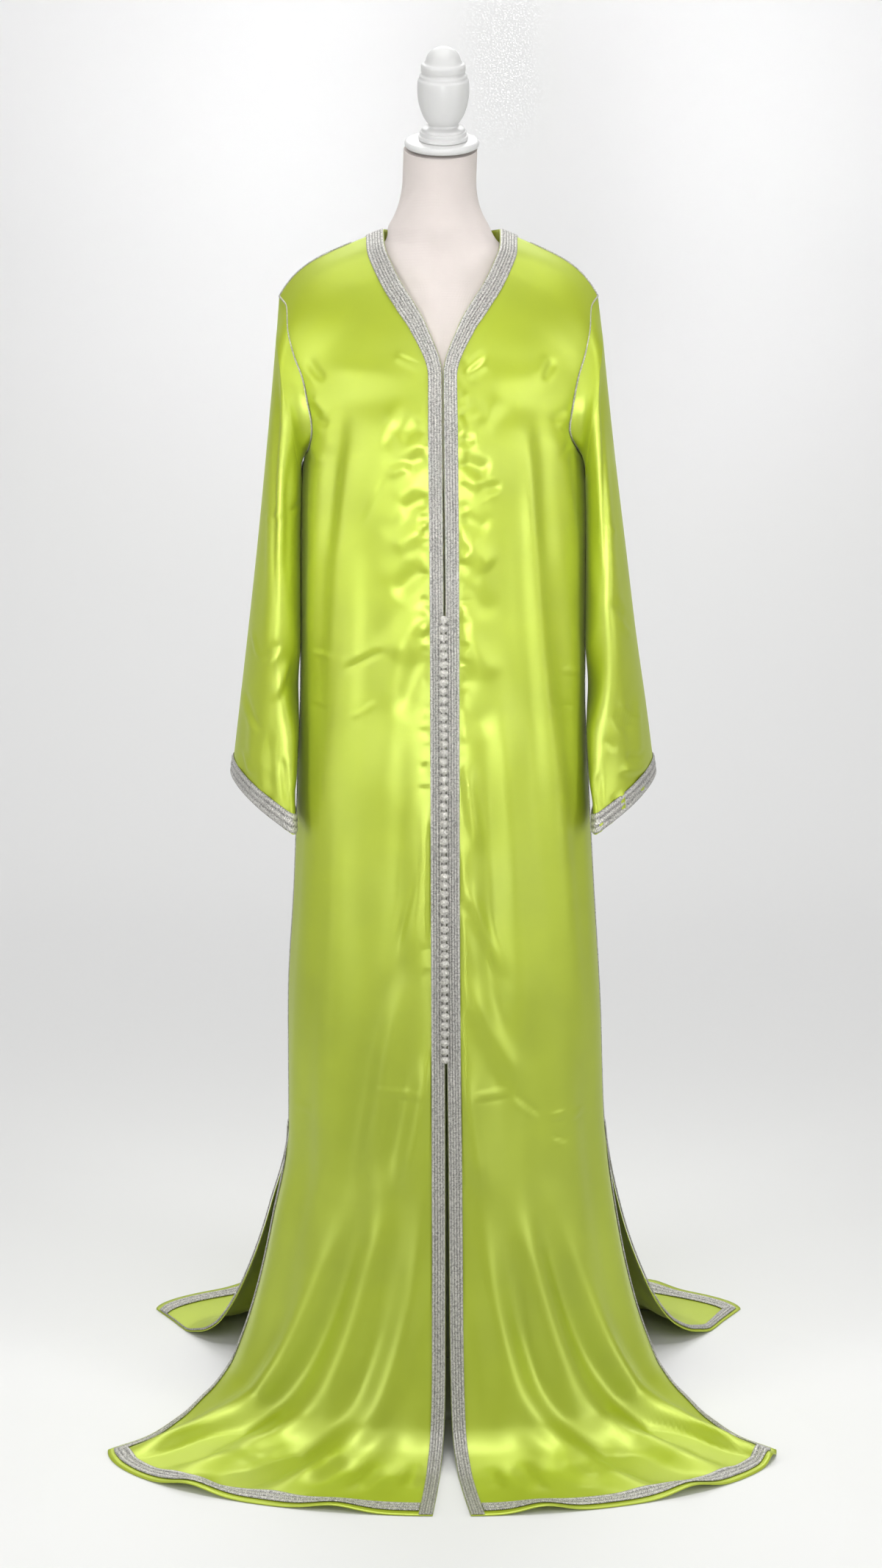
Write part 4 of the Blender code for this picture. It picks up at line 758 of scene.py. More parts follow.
def band_puckers(side, rng):
    """Puckers that the front band's stitching draws into the satin, strongest at the bust."""
    made = []
    heights = np.linspace(BAND_PUCKER_TOP, BAND_PUCKER_LOW, BAND_PUCKERS.count)
    shift = rng.uniform(-BAND_PUCKER_SHIFT, BAND_PUCKER_SHIFT, len(heights))
    for z in heights + shift:
        growth = float(ease((z - BAND_PUCKER_BUST) / 0.3))
        strength = BAND_PUCKER_LEAST + (1 - BAND_PUCKER_LEAST) * growth
        long = rng.uniform(BAND_PUCKERS.least_long, BAND_PUCKERS.most_long)
        high = rng.uniform(BAND_PUCKERS.least_high, BAND_PUCKERS.most_high) * strength
        start = side * (FRONT_BAND - PUCKER_IN)
        end = side * (FRONT_BAND + long)
        rise = rng.uniform(-0.55, 0.15) * long
        width = BAND_PUCKERS.width * rng.uniform(0.8, 1.5)
        made.append(Crease("front", start, z, end, z + rise, width, high * rng.choice((-1, 1))))
    return tuple(made)


def cuff_puckers(side, rng):
    """Puckers above the cuff's braid."""
    made = []
    cuff = SLEEVE["cuff"]
    inner, outer = ends(cuff, side)
    for part in np.linspace(0.04, 0.96, CUFF_PUCKERS.count):
        x = outer + (inner - outer) * part
        z = cuff.out_z + (cuff.in_z - cuff.out_z) * part + 0.004
        long = rng.uniform(CUFF_PUCKERS.least_long, CUFF_PUCKERS.most_long)
        high = rng.uniform(CUFF_PUCKERS.least_high, CUFF_PUCKERS.most_high)
        lean = rng.uniform(-0.4, 0.4) * long
        view = "front" if part * CUFF_SCATTER % 1 < CUFF_FRONT else "back"
        made.append(Crease(view, side * x, z - PUCKER_IN, side * (x - lean), z + long,
                           CUFF_PUCKERS.width, high * rng.choice((-1, 1))))
    return tuple(made)


_rng = np.random.default_rng(SEED)
CREASES = {side: FRONT_CREASES[side] + band_puckers(side, _rng) for side, _ in SIDES}
ARM_CREASES = {side: SLEEVE_CREASES[side] + cuff_puckers(side, _rng) for side, _ in SIDES}


# ---------------------------------------------------------------- meshes

UNDER = 0.0004  # height of the wrong side of cloth that lies on the floor
SHARP_BRAID, SHARP_FORM, SHARP_TURNED = 70, 50, 42  # degrees from which an edge is sharp
CORD_STEPS = (0.0, 0.14, 0.5, 0.86, 1.0)  # places across a cord where it has a line of points
PLAIT_RISE, PLAIT_SLANT = 0.16, 9  # how far the plait lifts a cord, and how it slants


def new_piece(name, points, faces, materials, uv=None, which=None, turn=False, sharp=None):
    """An object from points and faces. uv is a place in metres for each point, and which is
    the material of each face. Turn makes the faces of each closed body point out."""
    mesh = bpy.data.meshes.new(name)
    mesh.from_pydata(np.asarray(points).tolist(), [], faces)
    for made in materials:
        mesh.materials.append(made)
    if which is not None:
        mesh.polygons.foreach_set("material_index", which.astype(np.int32))
    if uv is not None:
        corners = np.empty(len(mesh.loops), np.int32)
        mesh.loops.foreach_get("vertex_index", corners)
        layer = mesh.uv_layers.new(name="UVMap")
        layer.data.foreach_set("uv", uv[corners].astype(np.float32).ravel())
    if turn:
        body = bmesh.new()
        body.from_mesh(mesh)
        bmesh.ops.recalc_face_normals(body, faces=body.faces)
        body.to_mesh(mesh)
        body.free()
    mesh.shade_smooth()
    if sharp:
        mesh.set_sharp_from_angle(angle=math.radians(sharp))
    piece = bpy.data.objects.new(name, mesh)
    bpy.context.scene.collection.objects.link(piece)
    return piece


def grid_faces(rows, columns, closed=False, ring=False):
    """The faces of a grid of points, row after row. Closed joins its last column to its
    first, and ring its last row to its first."""
    index = np.arange(rows * columns).reshape(rows, columns)
    if closed:
        index = np.hstack([index, index[:, :1]])
    if ring:
        index = np.vstack([index, index[:1]])
    corners = index[:-1, :-1], index[:-1, 1:], index[1:, 1:], index[1:, :-1]
    return stacked(*corners).reshape(-1, 4)


def facing_out(points, faces, ways):
    """The faces turned so that they face along the way out at their first corners."""
    a, b, c = (points[faces[:, i]] for i in range(3))
    wrong = np.einsum("ij,ij->i", np.cross(b - a, c - a), ways[faces[:, 0]]).sum() < 0
    return faces[:, ::-1] if wrong else faces


def directed(starts, ends):
    """Directed edges as numbers that can be looked up."""
    return starts.astype(np.int64) * 10_000_000 + ends


def shell(name, outer, ways_in, thick, materials, closed=False, bound=None):
    """Cloth with an outer face, an inner face a thickness in, and edges. Bound marks the
    points of the outer face whose edges are covered with the third material."""
    rows, columns = outer.shape[:2]
    count = rows * columns
    inner = outer + ways_in * thick
    inner[..., 2] = np.maximum(inner[..., 2], UNDER)
    points = np.vstack([outer.reshape(-1, 3), inner.reshape(-1, 3)])
    front = facing_out(points, grid_faces(rows, columns, closed), -ways_in.reshape(-1, 3))
    used = directed(front, np.roll(front, -1, axis=1))
    index = np.arange(count).reshape(rows, columns)
    faces = [front, front[:, ::-1] + count]
    for line in (index[0], index[-1]) if closed else (index[0], index[-1], *index.T[[0, -1]]):
        starts, ends = (line, np.roll(line, -1)) if closed else (line[:-1], line[1:])
        edge = stacked(starts, ends, ends + count, starts + count)
        same_way = np.isin(directed(starts, ends), used)
        faces.append(np.where(same_way[:, None], edge[:, ::-1], edge))
    faces = np.vstack(faces)
    which = np.zeros(len(faces))
    which[len(front):2 * len(front)] = 1
    if bound is not None:
        covered = np.concatenate([bound.ravel(), bound.ravel()])[faces].all(axis=1)
        which[covered & (np.arange(len(faces)) >= 2 * len(front))] = 2
    uv = uv_of(outer)
    return new_piece(name, points, faces.tolist(), materials, np.vstack([uv, uv]), which)


def lengths_down(points):
    """How far each row is from the first, along the cloth."""
    steps = np.linalg.norm(np.diff(points, axis=0), axis=-1)
    return np.vstack([np.zeros((1, points.shape[1])), np.cumsum(steps, axis=0)])


def uv_of(points):
    """A place in metres for each point of a grid: across, then down."""
    across = lengths_down(np.swapaxes(points, 0, 1)).T
    return stacked(across, lengths_down(points)).reshape(-1, 2)


def tube(points, radius, sides, pitch=None, depth=0.0, closed=False):
    """Points, faces and uv of a cord along a line, twisted where a pitch is given."""
    points = np.asarray(points, float)
    ahead, behind = np.roll(points, -1, axis=0), np.roll(points, 1, axis=0)
    if not closed:
        ahead[-1], behind[0] = points[-1], points[0]
    along = unit(ahead - behind)
    helper = np.where(abs(along[:, 1:2]) > 0.9, [[1.0, 0.0, 0.0]], [[0.0, 1.0, 0.0]])
    first = unit(np.cross(along, helper))
    second = np.cross(along, first)
    length = lengths_down(points[:, None])
    angle = np.linspace(0, 2 * math.pi, sides, endpoint=False)
    size = np.full((len(points), sides), radius)
    if pitch:
        size = radius * (1 + depth * np.cos(2 * angle - 2 * math.pi * length / pitch))
    ring = first[:, None] * np.cos(angle)[:, None] + second[:, None] * np.sin(angle)[:, None]
    made = (points[:, None] + ring * size[..., None]).reshape(-1, 3)
    faces = grid_faces(len(points), sides, True, closed).tolist()
    uv = stacked(angle * radius, length).reshape(-1, 2)
    if not closed:
        count = len(made)
        last = count - sides
        made = np.vstack([made, made[:sides].mean(axis=0), made[last:].mean(axis=0)])
        uv = np.vstack([uv, [0, 0], [0, length[-1, 0]]])
        for side in range(sides):
            after = (side + 1) % sides
            faces += [[count, after, side], [count + 1, last + side, last + after]]
    return made, faces, uv


def joined_tubes(name, tubes, material):
    """One object from many cords."""
    points, faces, uvs, start = [], [], [], 0
    for made, own_faces, uv in tubes:
        points.append(made)
        uvs.append(uv)
        faces += [[start + corner for corner in face] for face in own_faces]
        start += len(made)
    return new_piece(name, np.vstack(points), faces, [material], np.vstack(uvs), turn=True)


def profile(cords):
    """Across a braid: the shares of its width, the height there, the plait's lean, and the
    place counted in cords."""
    lines = [(0.0, 0.0, 0, 0.0)]
    for number, cord in enumerate(cords):
        for step in CORD_STEPS:
            height = cord.height * math.sqrt(max(1 - (2 * step - 1) ** 2, 0))
            share = cord.start + (cord.end - cord.start) * step
            lines.append((share, height, cord.lean, number + step))
    lines.append((1.0, 0.0, 0, len(cords)))
    return np.array(lines).T


def strip(name, base, out, cords, material, closed=False):
    """A braid: base is a grid of points on the cloth, along and then across, at the shares
    that profile() gives. The cords stand on a flat ground and are plaited along it."""
    shares, heights, leans, places = profile(cords)
    length = lengths_down(base)[:, :1]
    wave = np.cos(2 * math.pi * length / PLAIT_PITCH + leans * shares * PLAIT_SLANT)
    lift = BRAID_LIFT + BRAID_BASE + heights * (1 + PLAIT_RISE * wave)
    low = base + out * BRAID_LIFT
    grid = np.concatenate([low[:, :1], base + out * lift[..., None], low[:, -1:]], axis=1)
    rows, columns = grid.shape[:2]
    across = np.concatenate([[0], places, [len(cords)]]) * CORD_MEASURE
    uv = stacked(across, length).reshape(-1, 2)
    faces = grid_faces(rows, columns, True, closed).tolist()
    if not closed:
        last = (rows - 1) * columns
        faces += [list(range(columns)), list(range(last, last + columns))[::-1]]
    return new_piece(name, grid.reshape(-1, 3), faces, [material], uv, turn=True,
                     sharp=SHARP_BRAID)


# ---------------------------------------------------------------- materials


def node(tree, kind, **settings):
    made = tree.nodes.new(kind)
    for name, value in settings.items():
        setattr(made, name, value)
    return made


def fill(tree, made, values):
    """Sets a node's inputs to values or links them to sockets. An underscore in a label
    stands for a space."""
    for label, value in values.items():
        socket = made.inputs[label.replace("_", " ")]
        if isinstance(value, bpy.types.NodeSocket):
            tree.links.new(value, socket)
        else:
            socket.default_value = value
    return made.outputs


def group_start(name, inputs, outputs):
    """A shader node group with float inputs and outputs, and the parts of a place on a mesh."""
    group = bpy.data.node_groups.new(name, "ShaderNodeTree")
    for label, default in inputs.items():
        socket = group.interface.new_socket(label, in_out="INPUT", socket_type="NodeSocketFloat")
        socket.default_value = default
    for label in outputs:
        group.interface.new_socket(label, in_out="OUTPUT", socket_type="NodeSocketFloat")
    given, result = node(group, "NodeGroupInput"), node(group, "NodeGroupOutput")
    split = node(group, "ShaderNodeSeparateXYZ")
    place = node(group, "ShaderNodeUVMap", uv_map="UVMap")
    group.links.new(place.outputs["UV"], split.inputs[0])
    return group, given.outputs, result.inputs, split.outputs


def maths(tree, operation, first, second=None):
    made = node(tree, "ShaderNodeMath", operation=operation)
    for socket, value in zip(made.inputs, (first, second)):
        if isinstance(value, (int, float)):
            socket.default_value = value
        elif value is not None:
            tree.links.new(value, socket)
    return made.outputs[0]


def cloud(tree, scale, detail=2.0):
    """Uneven noise over the whole piece. The scale is a number or a socket."""
    where = node(tree, "ShaderNodeTexCoord").outputs["Object"]
    made = node(tree, "ShaderNodeTexNoise")
    return fill(tree, made, {"Vector": where, "Scale": scale, "Detail": detail})["Fac"]


def weave_group():
    """A woven ground: warp and weft threads over the cloth's own measure, and an uneven
    cloudiness over the whole of it."""
    group, given, result, place = group_start(
        "Weave", {"Threads per metre": 2400.0, "Weft share": 0.3, "Cloud size": 7.0},
        ("Height", "Cloud"),
    )
    turn = maths(group, "MULTIPLY", given["Threads per metre"], 2 * math.pi)
    warp, weft = (maths(group, "SINE", maths(group, "MULTIPLY", place[i], turn)) for i in (0, 1))
    threads = maths(group, "ADD", warp, maths(group, "MULTIPLY", weft, given["Weft share"]))
    group.links.new(threads, result["Height"])
    group.links.new(cloud(group, given["Cloud size"], 3.0), result["Cloud"])
    return group


def plait_group():
    """Plaited metal thread: slanted strands that meet in chevrons across each cord, with painted
    light over their colour.
    """
    # Groove is how much darker each cord's edges are painted, a painted shade where the cords
    # meet.
    group, given, result, place = group_start(
        "Plait", {"Strand pitch": 0.0022, "Cord width": CORD_MEASURE, "Groove": 0.0},
        ("Height", "Speckle and painted light"),
    )

    def times(first, second):
        return maths(group, "MULTIPLY", first, second)

    chevron = maths(group, "PINGPONG", place[0], given["Cord width"])
    turns = maths(group, "DIVIDE", maths(group, "ADD", place[1], chevron), given["Strand pitch"])
    strand = maths(group, "SINE", times(turns, 2 * math.pi))
    group.links.new(strand, result["Height"])
    # The colour factor: random speckle, a painted highlight along each strand's crest, and painted
    # shade at each cord's edges.
    speck = times(maths(group, "SUBTRACT", cloud(group, 520.0, 1.0), 0.5), 1.9)
    half = times(given["Cord width"], 0.5)
    inward = maths(group, "DIVIDE", maths(group, "PINGPONG", place[0], half), half)
    edge = maths(group, "SUBTRACT", 1.0, maths(group, "MINIMUM", times(inward, 1.8), 1.0))
    total = maths(group, "ADD", maths(group, "ADD", times(strand, 0.16), speck), 0.55)
    speckle_and_painted_light = maths(group, "SUBTRACT", total, times(edge, given["Groove"]))
    group.links.new(speckle_and_painted_light, result["Speckle and painted light"])
    return group


def new_material(name, **values):
    made = bpy.data.materials.new(name)
    made.use_nodes = True
    shader = made.node_tree.nodes["Principled BSDF"]
    fill(made.node_tree, shader, values)
    return made, made.node_tree, shader


def use_group(tree, group, **values):
    return fill(tree, node(tree, "ShaderNodeGroup", node_tree=group), values)


def shades(tree, shader, factor, colour, *stops):
    """Colours a shader with shades of one colour. Each stop is a place and a shade."""
    made = node(tree, "ShaderNodeValToRGB")
    tree.links.new(factor, made.inputs["Fac"])
    elements = made.color_ramp.elements
    for position, _ in stops[1:-1]:
        elements.new(position)
    for element, (position, shade) in zip(elements, stops):
        element.position = position
        element.color = (*(part * shade for part in colour), 1.0)
    fill(tree, shader, {"Base Color": made.outputs["Color"]})


def bump(tree, shader, height, strength, distance):
    values = {"Height": height, "Strength": strength, "Distance": distance}
    made = fill(tree, node(tree, "ShaderNodeBump"), values)
    fill(tree, shader, {"Normal": made["Normal"]})


def satin_material(name, colour, weave, roughness, sheen):
    """Satin: long bright floats over a fine ground."""
    _, tree, shader = new_material(
        name, Metallic=0.33, IOR=2.0, Specular_Tint=(0.97, 1.0, 0.85, 1.0), Anisotropic=0.5,
        Sheen_Weight=sheen, Sheen_Roughness=0.4, Sheen_Tint=(1.0, 1.0, 0.72, 1.0),
    )
    woven = use_group(tree, weave, Threads_per_metre=2600.0, Weft_share=0.25, Cloud_size=9.0)
    shades(tree, shader, woven["Cloud"], colour, (0.3, 0.92), (0.7, 1.06))
    uneven = {"Value": woven["Cloud"], "To Min": roughness - 0.03, "To Max": roughness + 0.05}
    rough = fill(tree, node(tree, "ShaderNodeMapRange"), uneven)
    fill(tree, shader, {"Roughness": rough["Result"]})
    bump(tree, shader, woven["Height"], 0.06, 0.0001)


def thread_material(name, colour, plait, pitch, painted_dark, groove_shade=0.0):
    """Silver thread: a painted highlight along its strands and painted shade in the grooves
    between its cords, over random speckle.
    """
    _, tree, shader = new_material(
        name, Metallic=0.45, Roughness=0.42, Specular_IOR_Level=0.6, Sheen_Weight=0.15,
    )
    plaited = use_group(tree, plait, Strand_pitch=pitch, Groove=groove_shade)
    shades(tree, shader, plaited["Speckle and painted light"], colour, (0.0, painted_dark), (0.5, 1.0), (1.0, 1.5))
    bump(tree, shader, plaited["Height"], 0.7, 0.00025)


def linen_material(name, colour, weave):
    """Linen: a plain weave of even threads."""
    _, tree, shader = new_material(name, Roughness=0.88, Sheen_Weight=0.12)
    woven = use_group(tree, weave, Threads_per_metre=900.0, Weft_share=1.0, Cloud_size=14.0)
    shades(tree, shader, woven["Cloud"], colour, (0.3, 0.95), (0.7, 1.03))
    bump(tree, shader, woven["Height"], 0.35, 0.00025)


def painted_material(name, colour, roughness):
    """Smooth paint with the faintest unevenness."""
    _, tree, shader = new_material(name, Roughness=roughness, Coat_Weight=0.25,
                                   Coat_Roughness=0.2)
    uneven = cloud(tree, 30.0)
    shades(tree, shader, uneven, colour, (0.3, 0.97), (0.7, 1.0))
    bump(tree, shader, uneven, 0.05, 0.0005)


def materials():
    """The object's materials, made once."""
    if "lime satin" not in bpy.data.materials:
        looks = bpy.context.scene.kaftan_looks
        weave, plait = weave_group(), plait_group()
        satin, silver = tuple(looks.satin), tuple(looks.silver)
        satin_material("lime satin", satin, weave, looks.satin_roughness, looks.satin_sheen)
        # the wrong side is painted 5% lighter than the face, painted light for the shaded inside
        # of the skirt
        satin_material("lime satin wrong side", tuple(c * 1.05 for c in satin), weave, 0.5, 0.3)
        thread_material("silver braid", silver, plait, 0.0024, 0.4, 0.3)
        # the knot cord is the same silver painted 1.35 times lighter, painted light on the knots
        thread_material("silver knot cord", tuple(c * 1.35 for c in silver), plait, 0.0014, 0.75)
        thread_material("silver seam cord", silver, plait, 0.0016, 0.6)
        linen_material("cream linen", tuple(looks.linen), weave)
        painted_material("white paint", tuple(looks.paint), 0.38)
    return bpy.data.materials


def place_on(piece, slot, *nodes):
    """The piece rides on the part's one body and hides the nodes it stands for. Its slot is not
    used.
    """
    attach(piece, "root")
    if nodes:
        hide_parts(*nodes)
    return piece


# ---------------------------------------------------------------- settings


class KaftanLooks(bpy.types.PropertyGroup):
    satin: FloatVectorProperty(
        name="Satin", description="Colour of the satin", subtype="COLOR", size=3,
        min=0.0, max=1.0, default=(0.385, 0.475, 0.014),
    )
    satin_roughness: FloatProperty(
        name="Satin roughness", description="How dull the satin's floats are",
        min=0.1, max=0.9, default=0.41, subtype="FACTOR",
    )
    satin_sheen: FloatProperty(
        name="Satin sheen", description="Soft light along the satin's turned edges",
        min=0.0, max=1.0, default=0.05, subtype="FACTOR",
    )
    silver: FloatVectorProperty(
        name="Silver", description="Colour of the braid, knots and seam cord",
        subtype="COLOR", size=3, min=0.0, max=1.0, default=(0.44, 0.43, 0.40),
    )
    linen: FloatVectorProperty(
        name="Linen", description="Colour of the form's cover", subtype="COLOR", size=3,
        min=0.0, max=1.0, default=(0.66, 0.60, 0.565),
    )
    paint: FloatVectorProperty(
        name="Paint", description="Colour of the cap, finial and stand", subtype="COLOR",
        size=3, min=0.0, max=1.0, default=(0.66, 0.66, 0.65),
    )


class KaftanSizes(bpy.types.PropertyGroup):
    cloth: FloatProperty(
        name="Cloth", description="Thickness of the satin that shows", unit="LENGTH",
        min=0.0003, max=0.0018, default=0.0012,
    )
    front_step: FloatProperty(
        name="Fine rows", description="Distance between rows of the fronts above the hip",
        unit="LENGTH", min=0.001, max=0.02, default=0.0030,
    )
    skirt_step: FloatProperty(
        name="Skirt rows", description="Distance between rows below the hip", unit="LENGTH",
        min=0.001, max=0.03, default=0.0050,
    )


class KaftanStage(bpy.types.PropertyGroup):
    camera_away: FloatProperty(
        name="Camera distance", description="From the middle of the garment",
        unit="LENGTH", default=3.6,
    )
    camera_height: FloatProperty(
        name="Camera height", description="Above the floor", unit="LENGTH", default=1.65,
    )
    camera_tilt: FloatProperty(
        name="Camera tilt", description="Down from level", subtype="ANGLE",
        default=math.radians(13.7),
    )
    camera_lens: FloatProperty(
        name="Lens", description="Focal length for a 36 mm high picture",
        unit="CAMERA", default=69.5,
    )
    floor: FloatVectorProperty(
        name="Floor", description="Colour of the floor and backdrop", subtype="COLOR",
        size=3, min=0.0, max=1.0, default=(0.73, 0.73, 0.73),
    )


# ---------------------------------------------------------------- laying things on the cloth

FRONT_COLUMNS, BACK_COLUMNS, SLEEVE_COLUMNS = 80, 116, 88
CAP_ROWS, ARM_ROWS = 24, 150
INWARD = 1.2  # how much closer together the fronts' columns are towards the band
PANEL_MIDDLE = 0.3  # where a panel's rows are measured, as a share of its width
SMALL = 1e-3  # a step across or down that measures a surface's slope
NEST_STEPS, NEST_SHARE = 24, 0.6  # how the back neck's braid finds its place on the cloth
MADE = {}  # the pieces of cloth and what is sewn on each, by name


def sew_on(cloth_name, piece, *nodes):
    """Places a trimming and notes which cloth it is sewn on."""
    if cloth_name not in MADE:
        raise RuntimeError(f"make {cloth_name} before what is sewn on it")
    MADE[cloth_name].append(place_on(piece, "silver_braid", *nodes))


def new_cloth(node_name, points, ways_in, **more):
    """A piece of satin, silver-bound where it is said to be."""
    look = materials()
    faces = [look["lime satin"], look["lime satin wrong side"]]
    if "bound" in more:
        faces.append(look["silver braid"])
    piece = shell(f"satin_{node_name}", points, ways_in, bpy.context.scene.kaftan_sizes.cloth,
                  faces, **more)
    MADE[node_name] = [place_on(piece, "lime_satin", node_name)]


def even_places(surface, low, high, step):
    """Places along a line of a surface so that they are evenly spaced."""
    places = np.linspace(low, high, 800)
    length = lengths_down(surface(places)[:, None])[:, 0]
    count = int(length[-1] / step)
    return np.interp(np.linspace(0, length[-1], count + 1), length, places)


def panel_rows(table, surface, fine_until):
    """Rows of a panel, evenly spaced along its middle and closer above a height."""
    sizes = bpy.context.scene.kaftan_sizes
    places = np.linspace(0, len(table) - 1, 600)
    line = surface(np.full_like(places, PANEL_MIDDLE), places)
    steps = np.linalg.norm(np.diff(line, axis=0), axis=-1)
    fine = (line[:-1, 2] + line[1:, 2]) / 2 > fine_until
    spacing = np.where(fine, sizes.front_step, sizes.skirt_step)
    count = np.concatenate([[0], np.cumsum(steps / spacing)])
    total = int(round(count[-1]))
    return np.interp(np.linspace(0, count[-1], total + 1), count, places)


def steps_per_metre(cloth, across, down, axis):
    """How far across or down one metre of cloth goes, at places."""
    if axis == 0:
        across = np.clip(across, SMALL, 1 - SMALL)
        span = cloth(across + SMALL, down)[0] - cloth(across - SMALL, down)[0]
    else:
        span = cloth(across, down + SMALL)[0] - cloth(across, down - SMALL)[0]
    return 2 * SMALL / np.linalg.norm(span, axis=-1)


def edge_strip(name, cloth, path, widths, node_name, cloth_name, closed=False):
    """A narrow braid along a hem, slit or cuff. The path is arrays of places on the edge and
    of the way in from it as signs across and down."""
    across, down, way_u, way_v = path
    far = widths[0] + (widths[1] - widths[0]) * profile(EDGE_CORDS)[0]
    in_u = way_u * steps_per_metre(cloth, across, down, 0)
    in_v = way_v * steps_per_metre(cloth, across, down, 1)
    base, out = cloth(across[:, None] + in_u[:, None] * far, down[:, None] + in_v[:, None] * far)
    piece = strip(name, base, out, EDGE_CORDS, materials()["silver braid"], closed)
    sew_on(cloth_name, piece, node_name)


def edge_path(cloth, stretches):
    """Places along stretches of edge, each (fixed axis, fixed value, from, to, way in), with
    the turn between two stretches cut across at a corner's gap."""
    gap = HEM_BAND[1] + CORNER_GAP
    rows = []
    for number, (axis, fixed, start, end, way) in enumerate(stretches):
        def line(t, axis=axis, fixed=fixed):
            ones = np.full_like(t, fixed)
            return cloth(ones, t)[0] if axis == 0 else cloth(t, ones)[0]

        t = even_places(line, start, end, BRAID_STEP)
        if number:
            t = t[np.linalg.norm(line(t) - line(t[:1]), axis=-1) > gap]
        if number < len(stretches) - 1:
            t = t[np.linalg.norm(line(t) - line(np.array([end], float)), axis=-1) > gap]
        ones, none = np.full_like(t, fixed), np.zeros_like(t)
        places, ways = (ones, t), (none + way, none)
        rows.append(stacked(*(places + ways if axis == 0 else places[::-1] + ways[::-1])))
        if number < len(stretches) - 1:
            corner, into = (fixed, end), (way, stretches[number + 1][4])
            rows.append([corner + into if axis == 0 else corner[::-1] + into[::-1]])
    return np.vstack(rows).T


def nested(target, u, v):
    """Places on the back that lie nearest to these points."""
    for _ in range(NEST_STEPS):
        near_u, near_v = np.clip(u, -1 + SMALL, 1 - SMALL), np.maximum(v, SMALL)
        by_u = back_plain(near_u + SMALL, near_v) - back_plain(near_u - SMALL, near_v)
        by_v = back_plain(near_u, near_v + SMALL) - back_plain(near_u, near_v - SMALL)
        by_u, by_v = by_u / (2 * SMALL), by_v / (2 * SMALL)
        gap = target - back_plain(u, v)
        uu, uv, vv = (by_u**2).sum(-1), (by_u * by_v).sum(-1), (by_v**2).sum(-1)
        gu, gv = (gap * by_u).sum(-1), (gap * by_v).sum(-1)
        whole = uu * vv - uv * uv
        u = u + NEST_SHARE * (gu * vv - gv * uv) / whole
        v = np.maximum(v + NEST_SHARE * (gv * uu - gu * uv) / whole, 0.0)
    return u, v


def front_middle(heights):
    """The points midway between the fronts' inner edges at these heights."""
    edges = []
    for side, _ in SIDES:
        rows = np.linspace(5, place_of(FRONT, "shin"), 900)
        line, _ = front_cloth(side, np.zeros_like(rows), rows)
        line = line[np.argsort(line[:, 2])]
        edges.append(stacked(*(np.interp(heights, line[:, 2], along) for along in line.T)))
    return (edges[0] + edges[1]) / 2


def knot(centre, face, rng):
    """The cords of one knot button and of the loop that holds it."""
    spin = Matrix.Rotation(rng.uniform(-KNOT_SPIN_Y, KNOT_SPIN_Y), 3, "Y") @ Matrix.Rotation(
        rng.uniform(-KNOT_SPIN_Z, KNOT_SPIN_Z), 3, "Z")
    size = np.array([KNOT_WIDE, KNOT_RADIUS, KNOT_HIGH]) - KNOT_CORD
    angle = np.linspace(0, 2 * math.pi, 16, endpoint=False)
    waver = 1 + KNOT_WAVER * np.cos(3 * angle)
    ring = stacked(np.cos(angle) * waver, 0.0, np.sin(angle) * waver)
    tubes = []
    for tilt, turn in KNOT_TURNS:
        lean = Matrix.Rotation(math.radians(turn), 3, "Y") @ Matrix.Rotation(
            math.radians(tilt), 3, "Z")
        placed = ring @ np.array(spin @ lean).T * size
        tubes.append(tube(centre + placed, KNOT_CORD, 6, closed=True))
    core = np.linspace(-0.6, 0.6, 5)[:, None] * [[0, 0, KNOT_HIGH]]
    tubes.append(tube(centre + core, KNOT_CORE * KNOT_RADIUS, 8))
    arc = np.linspace(0, 1, 6)
    sag = np.sin(math.pi * arc)
    loop = stacked(centre[0] - LOOP_LONG * (1 + arc), face - LOOP_SINK * sag,
                   centre[2] + rng.uniform(-LOOP_SHIFT, LOOP_SHIFT) - LOOP_SAG * sag)
    tubes.append(tube(loop, LOOP_CORD, 5))
    return tubes


def turned(name, outline, placed, node_name, steps=1):
    """A turned piece from its outline, swept round in fine steps."""
    outline = np.array(outline, float)
    if steps > 1:
        table = {number: Turning(*row) for number, row in enumerate(outline)}
        count = len(outline) - 1
        outline = np.stack(between(table, np.linspace(0, count, count * steps + 1)), axis=-1)
    body = outline[outline[:, 1] > 1e-6]
    angle = np.linspace(0, 2 * math.pi, TURNED_SIDES, endpoint=False)
    points = stacked(body[:, 1:] * np.cos(angle), body[:, 1:] * np.sin(angle), body[:, :1])
    points = points.reshape(-1, 3)
    middles = [(0, 0, outline[0][0]), (0, 0, outline[-1][0])]
    faces = grid_faces(len(body), TURNED_SIDES, True).tolist()
    count, last = len(points), len(points) - TURNED_SIDES
    for side in range(TURNED_SIDES):
        after = (side + 1) % TURNED_SIDES
        faces += [(count, side, after), (count + 1, last + after, last + side)]
    piece = new_piece(name, np.vstack([points, middles]), faces, [materials()["white paint"]],
                      turn=True, sharp=SHARP_TURNED)
    piece.data.transform(placed)
    place_on(piece, "white_paint", node_name)


def area_light(name, place, target, size, power, spread):
    """A softbox of a width and height that points at a target, its light kept to a spread."""
    data = bpy.data.lights.new(name, "AREA")
    data.shape, data.energy, data.spread = "RECTANGLE", power, math.radians(spread)
    data.size, data.size_y = size
    light = bpy.data.objects.new(name, data)
    light.location = place
    light.rotation_euler = (Vector(target) - Vector(place)).to_track_quat("-Z", "Y").to_euler()
    bpy.context.scene.collection.objects.link(light)


